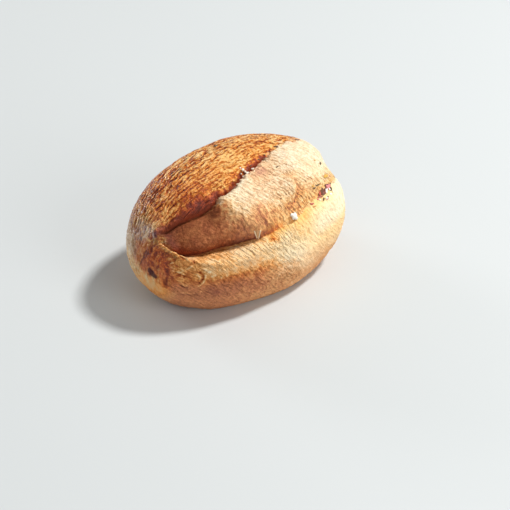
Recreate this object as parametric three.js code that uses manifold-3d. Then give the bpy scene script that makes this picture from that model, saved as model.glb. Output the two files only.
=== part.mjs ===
// Cheese pogaca: one small oval yeast-dough roll that has burst open along two
// clefts while it baked. Millimetres, +Z up, long axis along X, the egg-glazed
// back towards +Y. The origin is at the middle of the bounding box, on the flat
// spot that the roll stands on.
//
// The body is an egg-shaped superellipsoid with a flat underside. Two clefts run
// along it from a common corner near the left tip. Between them lies the tongue,
// a swollen band of pale inner dough whose left end is sunk in below the two lips.
import * as THREE from "three";
import { mergeVertices } from "three/addons/utils/BufferGeometryUtils.js";
import Module from "manifold-3d";

// ---- driving dimensions, mm and degrees ----
const HALF_LENGTH = 52.3; // tip to tip is twice this
const HALF_WIDTH = 36.0;
const HEIGHT = 57.8;
const WAIST = 22.4; // height of the widest section
const FULLNESS = 2.22; // superellipsoid exponent, 2 is an ellipsoid
const EGG = 0.03; // how much wider the right half is
const FLAT = 0.7; // share of the plan that the flat underside covers

// Angles go round the long axis: 0 is the front, 90 the top, 180 the back.
// Upper cleft, between the glazed back lobe and the tongue: [x, angle]
const UPPER_COURSE = [
  [-52, 70], [-46.6, 73], [-43, 72], [-37, 68.6], [-31, 63.4], [-25, 60.6], [-19, 62.2],
  [-12, 65.2], [-3, 69.8], [5, 73.9], [12, 77.2], [18, 81.9], [27, 87.5], [37, 98], [50, 114],
];
// Lower cleft, between the tongue and the front lobe: [x, angle]
const LOWER_COURSE = [
  [-52, 64], [-46.4, 58], [-44, 42.4], [-40, 29.8], [-35, 24], [-28, 22.3], [-20, 22],
  [-12, 22.3], [-5, 22.9], [1, 24.3], [6.6, 25.6], [13, 28.4], [19, 31.4], [28, 33.3],
  [37, 36.1], [45, 41], [52, 60],
];
const CLEFT_START = -47.5; // where both clefts begin, near the left tip
const UPPER_END = 24; // x where the upper cleft has run out
const LOWER_END = 48;
const UPPER_DEPTH = [1.6, 3.9]; // near the left tip, from the hollow's end on
const LOWER_DEPTH = [2.8, 7.1, 3.3]; // near the left tip, at its deepest, to the right
const UPPER_ROUNDING = [0.25, 1.45]; // how blunt the cleft's bottom is, left and right
const LOWER_ROUNDING = [0.25, 3.15];
const BACK_LIP = [10.5, 5.5]; // how far from the cleft each rounded lip reaches
const FRONT_LIP = [2.2, 5.4, 8.0];
const TONGUE_LIP_UPPER = [2.6, 0.9];
const TONGUE_LIP_LOWER = [5.0, 11.5];
const HOLLOW = 5.2; // how far the tongue's left end is sunk in
const HOLLOW_EDGE = [-7, -20]; // x where it starts, at the lower and the upper cleft
const HOLLOW_RUN = [19, 8]; // length of the slope down into it, there
const HOLLOW_END = 8; // length of the slope up to the left tip
const SLIT = [1.0, 0.9]; // the narrow crack in the bottom of the upper and lower cleft
const LEDGE = 1.1; // how far the tongue stands up along its torn upper edge
// Broad swellings and hollows of the body: [height, x, length, angle, spread]
const SWELL = [4.4, 42, 12.3, 84, 19.5]; // the tongue bulges at its right end
const NOTCH = [-2.4, 48.5, 7, 59, 20]; // the dip below that bulge
const FOOT = [1.2, 8, 17, -33, 18]; // the front settles outwards near the table
const CHEEK = [1.1, 38, 10, -2, 22];

// ---- mesh density ----
const RINGS = 88; // sections along the length
const STEPS_FRONT = 19, STEPS_TONGUE = 12, STEPS_BACK = 22; // points on a section

// ---- small functions ----
const rad = (d) => (d * Math.PI) / 180;
const clamp01 = (t) => Math.min(1, Math.max(0, t));
const smooth = (t) => { const c = clamp01(t); return c * c * (3 - 2 * c); };
const step = (a, b, v) => smooth((v - a) / (b - a));
const ease = (t) => Math.sin((clamp01(t) * Math.PI) / 2);
const lerp = (a, b, t) => a + (b - a) * t;
const bell = (v, middle, width) => Math.exp(-(((v - middle) / width) ** 2));

// A smooth curve through the stations of a course.
function along(course, x) {
  const n = course.length;
  const slope = (i) => {
    const a = course[Math.max(i - 1, 0)], b = course[Math.min(i + 1, n - 1)];
    return (b[1] - a[1]) / (b[0] - a[0]);
  };
  const xc = Math.min(course[n - 1][0], Math.max(course[0][0], x));
  let i = 0;
  while (i < n - 2 && xc > course[i + 1][0]) i++;
  const h = course[i + 1][0] - course[i][0], t = (xc - course[i][0]) / h;
  return (
    (1 + 2 * t) * (1 - t) ** 2 * course[i][1] + t * (1 - t) ** 2 * h * slope(i) +
    t * t * (3 - 2 * t) * course[i + 1][1] + t * t * (t - 1) * h * slope(i + 1)
  );
}
const upperAngle = (x) => along(UPPER_COURSE, x);
const lowerAngle = (x) => along(LOWER_COURSE, x);

// Section of a rounded lip: 1 in the cleft, 0 where the lip meets the body.
function lip(t) {
  const c = clamp01(t);
  return 0.55 * (1 - Math.sqrt(Math.max(0, 1 - (1 - c) ** 2))) + 0.45 * (1 - c) ** 2;
}

// ---- the plain egg-shaped body ----
const halfWidthAt = (x) => HALF_WIDTH * (1 + EGG * Math.tanh(x / HALF_LENGTH));
const halfHeight = (up) => (up ? HEIGHT - WAIST : WAIST / Math.sqrt(1 - FLAT ** 2));

// Rough distance from it, negative inside.
function eggDistance(x, y, z) {
  const w = z - WAIST, c = halfHeight(w > 0), b = halfWidthAt(x), p = FULLNESS;
  const u = Math.abs(x / HALF_LENGTH), v = Math.abs(y / b), q = Math.abs(w / c);
  const k = Math.max(u ** p + v ** p + q ** p, 1e-9) ** (1 / p);
  const g = Math.hypot(u ** (p - 1) / HALF_LENGTH, v ** (p - 1) / b, q ** (p - 1) / c);
  return (k - 1) / Math.max(g * k ** (1 - p), 1e-4);
}
// The place on it at one angle of the section at x.
function eggPoint(x, angle) {
  const c = Math.cos(rad(angle)), s = Math.sin(rad(angle)), p = FULLNESS;
  const left = Math.max(1 - Math.abs(x / HALF_LENGTH) ** p, 0);
  const across = Math.abs(c / halfWidthAt(x)) ** p + Math.abs(s / halfHeight(s > 0)) ** p;
  const rho = (left / across) ** (1 / p);
  return [x, -rho * c, WAIST + rho * s];
}

// Each cleft as a line on the egg, and the nearest place of that line to a point.
function courseLine(angleAt) {
  const first = CLEFT_START, last = 0.985 * HALF_LENGTH, n = 400;
  const points = [];
  for (let i = 0; i <= n; i++) {
    const x = lerp(first, last, (1 - Math.cos((Math.PI * i) / n)) / 2);
    points.push(eggPoint(x, angleAt(x)));
  }
  return points;
}
const UPPER_LINE = courseLine(upperAngle), LOWER_LINE = courseLine(lowerAngle);

function nearest(line, [x, y, z]) {
  let distance = Infinity, foot = 0;
  for (let i = 0; i < line.length - 1; i++) {
    const a = line[i], b = line[i + 1];
    const ab = [b[0] - a[0], b[1] - a[1], b[2] - a[2]];
    const t = clamp01(((x - a[0]) * ab[0] + (y - a[1]) * ab[1] + (z - a[2]) * ab[2]) /
      (ab[0] ** 2 + ab[1] ** 2 + ab[2] ** 2));
    const d = Math.hypot(x - a[0] - t * ab[0], y - a[1] - t * ab[1], z - a[2] - t * ab[2]);
    if (d < distance) { distance = d; foot = a[0] + t * ab[0]; }
  }
  return [distance, foot];
}

// How far the tongue's sunk left end lies below the egg.
function hollowDepth(x, angle) {
  const k = clamp01((angle - 25) / 36);
  return HOLLOW * smooth((lerp(...HOLLOW_EDGE, k) - x) / lerp(...HOLLOW_RUN, k)) *
    smooth((x - CLEFT_START) / HOLLOW_END);
}

const swelling = ([height, x0, length, angle0, spread], x, angle) =>
  height * bell(x, x0, length) * bell(angle, angle0, spread);

// How far the surface lies below the egg at a place on it: the two clefts with
// their lips, the hollow at the tongue's left end, less the broad swellings.
function relief(x, angle) {
  const place = eggPoint(x, angle);
  const [t1, x1] = nearest(UPPER_LINE, place), [t2, x2] = nearest(LOWER_LINE, place);
  const above = angle > upperAngle(x), below = angle < lowerAngle(x);
  const upper = Math.hypot(t1, lerp(...UPPER_ROUNDING, smooth((x1 - 6) / 20)));
  const lower = Math.hypot(t2, lerp(...LOWER_ROUNDING, step(-14, 10, x2)));
  const upperHollow = hollowDepth(x1, upperAngle(x1));
  const lowerHollow = hollowDepth(x2, lowerAngle(x2));
  const hollow = hollowDepth(x, angle);
  const upperDepth = upperHollow + lerp(...UPPER_DEPTH, step(-28, -16, x1)) *
    ease((x1 - CLEFT_START) / 12) * (1 - step(UPPER_END - 27, UPPER_END, x1));
  const lowerDepth = lowerHollow +
    (lerp(LOWER_DEPTH[0], LOWER_DEPTH[1], step(-43, -26, x2)) +
      (LOWER_DEPTH[2] - LOWER_DEPTH[1]) * step(-16, 6, x2)) *
    ease((x2 - CLEFT_START) / 6) * (1 - step(LOWER_END - 14, LOWER_END, x2));
  let depth;
  if (above) {
    depth = upperDepth * lip(upper / lerp(...BACK_LIP, step(-25, -12, x1)));
  } else if (below) {
    depth = lowerDepth * lip(lower /
      (lerp(FRONT_LIP[0], FRONT_LIP[1], step(-42, -24, x2)) +
        (FRONT_LIP[2] - FRONT_LIP[1]) * step(2, 22, x2)));
  } else {
    depth = hollow +
      (upperDepth - hollow) * lip(upper / lerp(...TONGUE_LIP_UPPER, step(-26, -18, x1))) +
      (lowerDepth - hollow) * lip(lower / lerp(...TONGUE_LIP_LOWER, step(-44, -20, x2)));
    depth = Math.min(depth, Math.max(upperDepth, lowerDepth) + 0.6);
    depth -= LEDGE * bell(t1, 2.4, 2.6) * smooth(t1) *
      step(-27, -20, x1) * (1 - step(4, 16, x1));
  }
  depth += SLIT[0] * bell(t1, 0, 0.6) * ease((x1 - CLEFT_START) / 8) * (1 - step(2, 20, x1));
  depth += SLIT[1] * bell(t2, 0, 0.6) * step(-46, -34, x2) * (1 - step(-30, -14, x2));
  const taper = 1 - Math.min(1, (x / HALF_LENGTH) ** 2);
  return depth - swelling(SWELL, x, angle) * taper - swelling(NOTCH, x, angle) -
    swelling(FOOT, x, angle) - swelling(CHEEK, x, angle);
}

// The surface point of one section at one angle.
function surfacePoint(x, angle) {
  const c = Math.cos(rad(angle)), s = Math.sin(rad(angle)), depth = relief(x, angle);
  let inner = 0.3, outer = 1.6 * HEIGHT;
  for (let i = 0; i < 40; i++) {
    const rho = (inner + outer) / 2;
    if (eggDistance(x, -rho * c, WAIST + rho * s) + depth > 0) outer = rho;
    else inner = rho;
  }
  return [x, -inner * c, WAIST + inner * s];
}

// ---- the closed body, section by section, with a row of vertices in each cleft ----
function bodyGeometry() {
  const around = STEPS_FRONT + STEPS_TONGUE + STEPS_BACK;
  const points = [];
  for (let i = 1; i < RINGS; i++) {
    const x = -HALF_LENGTH * Math.cos((Math.PI * i) / RINGS);
    const lo = lowerAngle(x), up = upperAngle(x);
    for (let j = 0; j < around; j++) {
      let angle;
      if (j < STEPS_FRONT) {
        angle = lo - (lo + 90) * (1 - j / STEPS_FRONT) ** 2;
      } else if (j < STEPS_FRONT + STEPS_TONGUE) {
        const t = (j - STEPS_FRONT) / STEPS_TONGUE;
        angle = lerp(lo, up, (1 - Math.cos(Math.PI * t)) / 2);
      } else {
        const t = (j - STEPS_FRONT - STEPS_TONGUE) / STEPS_BACK;
        angle = up + (270 - up) * t ** 1.7;
      }
      points.push(...surfacePoint(x, angle));
    }
  }
  const left = points.length / 3, right = left + 1;
  points.push(-HALF_LENGTH, 0, WAIST, HALF_LENGTH, 0, WAIST);
  const faces = [];
  for (let j = 0; j < around; j++) {
    const k = (j + 1) % around;
    faces.push(left, j, k);
    for (let i = 0; i < RINGS - 2; i++) {
      const a = i * around + j, b = i * around + k;
      const c = a + around, d = b + around;
      // split each patch along its shorter diagonal
      const gap = (m, n) => Math.hypot(
        points[3 * m] - points[3 * n],
        points[3 * m + 1] - points[3 * n + 1],
        points[3 * m + 2] - points[3 * n + 2]);
      if (gap(a, d) < gap(b, c)) faces.push(a, d, b, a, c, d);
      else faces.push(a, c, b, b, c, d);
    }
    const last = (RINGS - 2) * around;
    faces.push(right, last + k, last + j);
  }
  const g = new THREE.BufferGeometry();
  g.setAttribute("position", new THREE.Float32BufferAttribute(points, 3));
  g.setIndex(faces);
  return g;
}

const wasm = await Module();
wasm.setup();

function toSolid(geometry) {
  const g = geometry.clone();
  g.deleteAttribute("normal");
  g.deleteAttribute("uv");
  const m = mergeVertices(g, 1e-4);
  return new wasm.Manifold(new wasm.Mesh({
    numProp: 3,
    vertProperties: new Float32Array(m.attributes.position.array),
    triVerts: new Uint32Array(m.index.array),
  }));
}

function toGeometry(solid) {
  const m = solid.getMesh();
  const g = new THREE.BufferGeometry();
  g.setAttribute("position", new THREE.Float32BufferAttribute(m.vertProperties, 3));
  g.setIndex(new THREE.Uint32BufferAttribute(m.triVerts, 1));
  return g;
}

// The flat underside: everything below the table is cut away.
const below = new THREE.BoxGeometry(
  4 * HALF_LENGTH, 4 * HALF_WIDTH, HEIGHT).translate(0, 0, -HEIGHT / 2);
const body = toSolid(bodyGeometry()).subtract(toSolid(below));

let geometry = toGeometry(body);
geometry.computeBoundingBox();
const middle = geometry.boundingBox.getCenter(new THREE.Vector3());
geometry.translate(-middle.x, -middle.y, -geometry.boundingBox.min.z);
geometry = geometry.toNonIndexed();
geometry.computeVertexNormals();

const crust = new THREE.MeshStandardMaterial({
  color: 0xc98a4b, roughness: 0.55, metalness: 0, flatShading: true,
});

const pogaca = new THREE.Group();
pogaca.name = "cheese_pogaca";
const bread = new THREE.Mesh(geometry, crust);
bread.name = "bread";
pogaca.add(bread);

export default pogaca;
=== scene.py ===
import math
import bmesh
import bpy
import numpy as np
from mathutils import Matrix, Vector


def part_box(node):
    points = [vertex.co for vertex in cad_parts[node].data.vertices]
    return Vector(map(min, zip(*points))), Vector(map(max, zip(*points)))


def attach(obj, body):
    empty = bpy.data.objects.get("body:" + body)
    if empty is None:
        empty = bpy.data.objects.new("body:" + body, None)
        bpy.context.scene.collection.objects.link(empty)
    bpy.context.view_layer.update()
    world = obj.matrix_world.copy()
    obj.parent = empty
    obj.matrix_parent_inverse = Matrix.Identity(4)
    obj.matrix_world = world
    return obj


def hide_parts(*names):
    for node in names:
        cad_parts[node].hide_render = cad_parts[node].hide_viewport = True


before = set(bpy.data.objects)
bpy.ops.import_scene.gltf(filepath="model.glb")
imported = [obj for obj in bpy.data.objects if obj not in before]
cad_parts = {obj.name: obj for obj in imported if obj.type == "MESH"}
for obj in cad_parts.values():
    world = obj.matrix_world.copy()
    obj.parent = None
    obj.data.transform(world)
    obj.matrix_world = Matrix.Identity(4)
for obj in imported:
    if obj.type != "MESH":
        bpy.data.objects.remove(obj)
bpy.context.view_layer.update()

# ------------------------------------------------------------------ helpers
def sstep(t):
    t = np.clip(t, 0.0, 1.0)
    return t * t * (3.0 - 2.0 * t)


def ss(a, b, v):
    return sstep((v - a) / (b - a))


def ease(t):
    return np.sin(np.clip(t, 0.0, 1.0) * np.pi / 2)


def gauss(v, m, s):
    return np.exp(-(((v - m) / s) ** 2))


class Noise:
    """Gradient noise on a hashed lattice, about -1 to 1."""

    def __init__(self, seed):
        rs = np.random.RandomState(seed)
        self.perm = np.concatenate([rs.permutation(256)] * 3)
        g = rs.normal(size=(256, 3))
        self.g = g / np.linalg.norm(g, axis=1, keepdims=True)

    def __call__(self, p):
        p = np.asarray(p, float)
        i = np.floor(p).astype(np.int64)
        f = p - i
        i &= 255
        w = f * f * f * (f * (f * 6 - 15) + 10)
        out = 0.0
        for dx in (0, 1):
            wx = w[:, 0] if dx else 1 - w[:, 0]
            for dy in (0, 1):
                wy = w[:, 1] if dy else 1 - w[:, 1]
                for dz in (0, 1):
                    wz = w[:, 2] if dz else 1 - w[:, 2]
                    h = self.perm[self.perm[self.perm[(i[:, 0] + dx) & 255] + ((i[:, 1] + dy) & 255)] + ((i[:, 2] + dz) & 255)]
                    d = f - np.array([dx, dy, dz])
                    out = out + wx * wy * wz * np.einsum("ij,ij->i", self.g[h], d)
        return out * 1.9

    def fbm(self, p, octaves=3, gain=0.5, lac=2.03):
        p = np.asarray(p, float)
        a, s, t = 1.0, 0.0, 0.0
        for k in range(octaves):
            s = s + a * self(p * lac ** k + 17.3 * k)
            t += a
            a *= gain
        return s / t


def stack(*c):
    return np.stack(c, -1)


# ------------------------------------------------------------------ the body, mm, the same sizes as the CAD solid
HALF_LENGTH, HALF_WIDTH, HEIGHT, WAIST = 52.3, 36.0, 57.8, 22.4
FULLNESS, EGG, FLAT = 2.22, 0.03, 0.7
UPPER = np.array([(-52, 70), (-46.6, 73), (-43, 72), (-37, 68.6), (-31, 63.4), (-25, 60.6), (-19, 62.2), (-12, 65.2), (-3, 69.8),
                  (5, 73.9), (12, 77.2), (18, 81.9), (27, 87.5), (37, 98), (50, 114)], float)
LOWER = np.array([(-52, 64), (-46.4, 58), (-44, 42.4), (-40, 29.8), (-35, 24.0), (-28, 22.3), (-20, 22.0), (-12, 22.3), (-5, 22.9),
                  (1, 24.3), (6.6, 25.6), (13, 28.4), (19, 31.4), (28, 33.3), (37, 36.1), (45, 41), (52, 60)], float)
START = -47.5


def along(course, x):
    xs, ys = course[:, 0], course[:, 1]
    m = np.zeros_like(ys)
    m[1:-1] = (ys[2:] - ys[:-2]) / (xs[2:] - xs[:-2])
    m[0] = (ys[1] - ys[0]) / (xs[1] - xs[0])
    m[-1] = (ys[-1] - ys[-2]) / (xs[-1] - xs[-2])
    x = np.clip(x, xs[0], xs[-1])
    i = np.clip(np.searchsorted(xs, x) - 1, 0, len(xs) - 2)
    h = xs[i + 1] - xs[i]
    t = (x - xs[i]) / h
    return ((1 + 2 * t) * (1 - t) ** 2 * ys[i] + t * (1 - t) ** 2 * h * m[i]
            + t * t * (3 - 2 * t) * ys[i + 1] + t * t * (t - 1) * h * m[i + 1])


def lip(t):
    t = np.clip(t, 0, 1)
    return 0.55 * (1 - np.sqrt(np.maximum(1 - (1 - t) ** 2, 0))) + 0.45 * (1 - t) ** 2


def egg(x, y, z):
    w = z - WAIST
    c = np.where(w > 0, HEIGHT - WAIST, WAIST / math.sqrt(1 - FLAT ** 2))
    b = HALF_WIDTH * (1 + EGG * np.tanh(x / HALF_LENGTH))
    p = FULLNESS
    u, v, q = np.abs(x / HALF_LENGTH), np.abs(y / b), np.abs(w / c)
    k = np.maximum(u ** p + v ** p + q ** p, 1e-9) ** (1 / p)
    g = np.sqrt((u ** (p - 1) / HALF_LENGTH) ** 2 + (v ** (p - 1) / b) ** 2 + (q ** (p - 1) / c) ** 2) * k ** (1 - p)
    return (k - 1) / np.maximum(g, 1e-4)


def egg_radius(x, al):
    """Distance from the long axis to the plain egg, in the plane across the length at x."""
    c, s = np.cos(np.radians(al)), np.sin(np.radians(al))
    up = np.where(s > 0, HEIGHT - WAIST, WAIST / math.sqrt(1 - FLAT ** 2))
    b = HALF_WIDTH * (1 + EGG * np.tanh(x / HALF_LENGTH))
    p = FULLNESS
    left = np.maximum(1 - np.abs(x / HALF_LENGTH) ** p, 0)
    return (left / (np.abs(c / b) ** p + np.abs(s / up) ** p)) ** (1 / p)


def egg_point(x, al):
    r = egg_radius(x, al)
    return stack(x, -r * np.cos(np.radians(al)), WAIST + r * np.sin(np.radians(al)))


JAG = Noise(5)


def jag(x, row):
    """The torn edges wander by a few tenths of a millimetre, in degrees round the body."""
    z = np.zeros_like(x)
    big = JAG(stack(x / 4.3, z + row, z))
    small = JAG(stack(x / 1.9, z + row + 5, z))
    torn = ss(-27, -20, x) * (1 - ss(20, 34, x))
    calm = ss(-42, -34, x) * (1 - ss(40, 46, x))
    if row == 0:
        tiny = JAG(stack(x / 0.85, z + row + 9, z))
        return torn * (1.1 * big + 1.7 * small + 1.5 * tiny) + 0.8 * gauss(x, -20.6, 1.6) + 0.5 * calm * big * (1 - torn)
    return calm * (0.6 * big + 0.35 * small)


def upper_angle(x):
    return along(UPPER, x) + jag(x, 0)


def lower_angle(x):
    return along(LOWER, x) + jag(x, 3)


def course_line(angle):
    """Points about 0.4 mm apart along a cleft, on the plain egg."""
    x = np.linspace(START, 51.5, 6000)
    p = egg_point(x, angle(x))
    d = np.concatenate([[0], np.cumsum(np.linalg.norm(np.diff(p, axis=0), axis=1))])
    t = np.linspace(0, d[-1], int(d[-1] / 0.4))
    return np.stack([np.interp(t, d, p[:, k]) for k in range(3)], 1)


def nearest(E, line):
    """Distance from each point to the line, and the x of the nearest place on it."""
    dist, foot = np.empty(len(E)), np.empty(len(E))
    a, b = line[:-1], line[1:]
    ab = b - a
    ll = (ab ** 2).sum(1)
    mid = ((a + b) / 2).astype(np.float32)
    m2 = (mid ** 2).sum(1)
    for i in range(0, len(E), 8000):
        e = E[i:i + 8000].astype(np.float32)
        k = np.argmin(m2[None] - 2 * e @ mid.T, 1)
        best, bx = np.full(len(e), 1e9), np.zeros(len(e))
        for o in (-1, 0, 1):
            j = np.clip(k + o, 0, len(a) - 1)
            t = np.clip(((E[i:i + 8000] - a[j]) * ab[j]).sum(1) / ll[j], 0, 1)
            f = a[j] + ab[j] * t[:, None]
            d = np.linalg.norm(E[i:i + 8000] - f, axis=1)
            hit = d < best
            best[hit] = d[hit]
            bx[hit] = f[hit, 0]
        dist[i:i + 8000], foot[i:i + 8000] = best, bx
    return dist, foot


LINE_UP, LINE_LOW = course_line(upper_angle), course_line(lower_angle)


def chart(x, al):
    """Signed distance to each cleft (above the upper one, below the lower one) and the x of its foot."""
    E = egg_point(x, al)
    t1, x1 = nearest(E, LINE_UP)
    t2, x2 = nearest(E, LINE_LOW)
    s1 = np.where(al > upper_angle(x), t1, -t1)
    s2 = np.where(al < lower_angle(x), t2, -t2)
    return s1, s2, x1, x2


def hollow_depth(x, al):
    k = np.clip((al - 25) / 36, 0, 1)
    return 5.2 * sstep((-7.0 - 13.0 * k - x) / (19.0 - 11.0 * k)) * sstep((x - START) / 8.0)


def relief(x, al, s1, s2, x1, x2):
    """How far the skin lies below the plain egg."""
    h1, h2, h0 = hollow_depth(x1, upper_angle(x1)), hollow_depth(x2, lower_angle(x2)), hollow_depth(x, al)
    d1 = (1.6 + 2.3 * ss(-28, -16, x1)) * ease((x1 - START) / 12) * (1 - sstep((x1 + 3) / 27))
    d2 = (2.8 + 4.3 * ss(-43, -26, x2) - 3.8 * ss(-16, 6, x2)) * ease((x2 - START) / 6) * (1 - sstep((x2 - 34) / 14))
    soft1 = 0.25 + 1.2 * sstep((x1 - 6) / 20)
    soft2 = 0.25 + 2.9 * ss(-14, 10, x2)
    t1, t2 = np.sqrt(s1 ** 2 + soft1 ** 2), np.sqrt(s2 ** 2 + soft2 ** 2)
    r_back = 10.5 - 5.0 * ss(-25, -12, x1)
    r_edge = 2.6 - 1.7 * ss(-26, -18, x1)
    r_front = 2.2 + 3.2 * ss(-42, -24, x2) + 2.6 * ss(2, 22, x2)
    r_low = 5.0 + 6.5 * ss(-44, -20, x2)
    between = h0 + (d1 + h1 - h0) * lip(t1 / r_edge) + (d2 + h2 - h0) * lip(t2 / r_low)
    between = np.minimum(between, np.maximum(d1 + h1, d2 + h2) + 0.6)
    r = np.where(s1 > 0, (d1 + h1) * lip(t1 / r_back), np.where(s2 > 0, (d2 + h2) * lip(t2 / r_front), between))
    slit = 1.0 * gauss(s1, 0, 0.6) * ease((x1 - START) / 8) * (1 - ss(2, 20, x1)) + 0.9 * gauss(s2, 0, 0.6) * ss(-46, -34, x2) * (1 - ss(-30, -14, x2))
    swell = 4.4 * (1 - np.minimum(1, (x / HALF_LENGTH) ** 2)) * gauss(x, 42, 12.3) * gauss(al, 84, 19.5)
    notch = 2.4 * gauss(x, 48.5, 7) * gauss(al, 59, 20)
    foot = 1.2 * gauss(x, 8, 17) * gauss(al, -33, 18)
    cheek = 1.1 * gauss(x, 38, 10) * gauss(al, -2, 22)
    # the tongue stands up a little along its torn edge
    ledge = 1.1 * gauss(s1, -2.4, 2.6) * sstep(-s1 / 1.0) * ss(-27, -20, x1) * (1 - ss(4, 16, x1))
    return r - swell + slit + notch - foot - cheek - ledge


# ------------------------------------------------------------------ sampled surface: rings along the length, rows in each cleft
RINGS = 316
N_UNDER, N_FRONT, N_TONGUE, N_TOP, N_BACK = 8, 84, 64, 97, 54
profile_x = -HALF_LENGTH * np.cos(np.pi * np.linspace(0, 1, 4001))
profile_r = 35.0 * np.maximum(1 - np.abs(profile_x / HALF_LENGTH) ** FULLNESS, 0) ** (1 / FULLNESS)
profile_u = np.concatenate([[0], np.cumsum(np.hypot(np.diff(profile_x), np.diff(profile_r)))])


def build_body():
    x = np.interp(np.arange(1, RINGS) / RINGS * profile_u[-1], profile_u, profile_x)
    # rows: underside, front lobe, tongue, back lobe, back, underside
    lo, up = lower_angle(x), upper_angle(x)
    one = np.ones_like(x)
    bounds = [(-90 * one, -40 * one, N_UNDER), (-40 * one, lo, N_FRONT), (lo, up, N_TONGUE), (up, 132 * one, N_TOP),
              (132 * one, 220 * one, N_BACK), (220 * one, 270 * one, N_UNDER)]
    al = np.concatenate([a[:, None] + (b - a)[:, None] * (np.arange(n) / n)[None] for a, b, n in bounds], 1)
    n_row = al.shape[1]
    X = np.repeat(x[:, None], n_row, 1).ravel()
    al = al.ravel()
    c, s = np.cos(np.radians(al)), np.sin(np.radians(al))
    s1, s2, x1, x2 = chart(X, al)
    r = relief(X, al, s1, s2, x1, x2)
    near, far = np.full(X.shape, 0.05), egg_radius(X, al) + 4.0
    for _ in range(22):
        mid = (near + far) / 2
        out = egg(X, -mid * c, WAIST + mid * s) + r > 0
        far, near = np.where(out, mid, far), np.where(out, near, mid)
    rho = (near + far) / 2
    P = stack(X, -rho * c, WAIST + rho * s)
    left = np.array([[-HALF_LENGTH, 0, WAIST]])
    right = np.array([[HALF_LENGTH, 0, WAIST]])
    P = np.concatenate([P, left, right])
    pad = lambda v, w: np.concatenate([v, w])
    al, rho = pad(al, [90, 90]), pad(rho, [0.0, 0.0])
    s1, s2, x1, x2 = pad(s1, [9, 9]), pad(s2, [-9, -9]), pad(x1, [START, 51]), pad(x2, [START, 51])
    # faces
    a = (np.arange(RINGS - 2)[:, None] * n_row + np.arange(n_row)[None]).ravel()
    b = (np.arange(RINGS - 2)[:, None] * n_row + ((np.arange(n_row) + 1) % n_row)[None]).ravel()
    quads = stack(a, a + n_row, b + n_row, b)
    L, R = len(P) - 2, len(P) - 1
    j = np.arange(n_row)
    k = (j + 1) % n_row
    last = (RINGS - 2) * n_row
    tris = np.concatenate([stack(np.full_like(j, L), j, k), stack(np.full_like(j, R), last + k, last + j)])
    return P, al, rho, quads, tris, s1, s2, x1, x2


def make_mesh(name, P, quads, tris):
    me = bpy.data.meshes.new(name)
    me.vertices.add(len(P))
    me.vertices.foreach_set("co", np.asarray(P, np.float32).ravel())
    nq, nt = len(quads), len(tris)
    loops = np.concatenate([np.asarray(quads, np.int32).ravel(), np.asarray(tris, np.int32).ravel()])
    start = np.concatenate([np.arange(nq) * 4, nq * 4 + np.arange(nt) * 3]).astype(np.int32)
    me.loops.add(len(loops))
    me.loops.foreach_set("vertex_index", loops.astype(np.int32))
    me.polygons.add(nq + nt)
    me.polygons.foreach_set("loop_start", start)
    me.update(calc_edges=True)
    me.validate()
    me.polygons.foreach_set("use_smooth", np.ones(nq + nt, bool))
    return me


def vertex_normals(P, quads, tris):
    N = np.zeros_like(P)
    d1 = P[quads[:, 2]] - P[quads[:, 0]]
    d2 = P[quads[:, 3]] - P[quads[:, 1]]
    n = np.cross(d1, d2)
    for k in range(4):
        np.add.at(N, quads[:, k], n)
    n = np.cross(P[tris[:, 1]] - P[tris[:, 0]], P[tris[:, 2]] - P[tris[:, 0]])
    for k in range(3):
        np.add.at(N, tris[:, k], n)
    return N / np.maximum(np.linalg.norm(N, axis=1, keepdims=True), 1e-12)


P, AL, RHO, QUADS, TRIS, S1, S2, X1, X2 = build_body()
N0 = vertex_normals(P, QUADS, TRIS)
X, Y, Z = P.T
top = sstep(S1 / 0.7 + 0.5)           # back lobe
front = sstep(S2 / 0.7 + 0.5)         # front lobe
tongue = (1 - top) * (1 - front)

# arc length from the left tip, and round the body
U = np.interp(X, profile_x, profile_u)
V = np.radians(AL) * 31.0

n1, n2, n3, n4, n5 = (Noise(k) for k in (11, 23, 37, 51, 67))
W = stack(X, Y, Z)
lowf = n1.fbm(W / 22.0, 2)
midf = n2.fbm(W / 8.0 + 5, 3)
fine_n = n5.fbm(W / 1.6, 2)
edge_n = n2.fbm(W / 4.0 + 3, 3)

# ------------------------------------------------------------------ relief of the skin, mm, outwards
h = 0.50 * lowf + 0.14 * midf

# back lobe: broken furrows that run with the length, and down round the left end
warp = 1.5 * n3.fbm(W / 9.0, 2) + 0.35 * n1(W / 2.8)
end = ss(20, 13, RHO)                 # near either end the rows are drawn together, so the pattern is laid flat there
across = V + warp
wob = 0.55 * n2(stack(U / 4.0, V / 3.0, 0 * U + 8.8)) + 0.25 * n5(stack(U / 1.6, V / 1.6, 0 * U))
lines = np.cos(2 * np.pi * (across / 2.25 + wob))
furrow_top = across / 2.25 + wob
lines_end = np.cos(2 * np.pi * ((Y + 0.8 * n3(W / 5.0)) / 2.1 + 0.6 * n2(stack(Z / 4.0, Y / 3.0, 0 * Y + 2.0))))
lines = lines * (1 - end) + lines_end * end
f1 = n4(stack(U / 4.6, across / 2.1, 0 * U + 2.2)) * (1 - end) + n4(stack(Z / 3.6, Y / 2.1, 0 * U + 2.2)) * end
f2 = n5(stack(U / 2.4, across / 0.95, 0 * U + 7.7)) * (1 - end) + n5(stack(Z / 2.4, Y / 0.95, 0 * U + 7.7)) * end
bark = 0.50 * lines + 0.95 * f1 + 0.40 * f2
rough_zone = np.clip(ss(86, 104, AL) * (1 - ss(-4, 20, X)) * (1 - 0.5 * ss(-38, -46, X)) + 0.25 * ss(-22, -36, X) + 0.55 * ss(10, 22, X), 0, 1)
amount = top * (0.34 - 0.10 * ss(-14, -4, X) + 0.76 * rough_zone) * (1 - 0.6 * ss(115, 150, AL))
valley = ss(-0.25, -0.85, bark)
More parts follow.
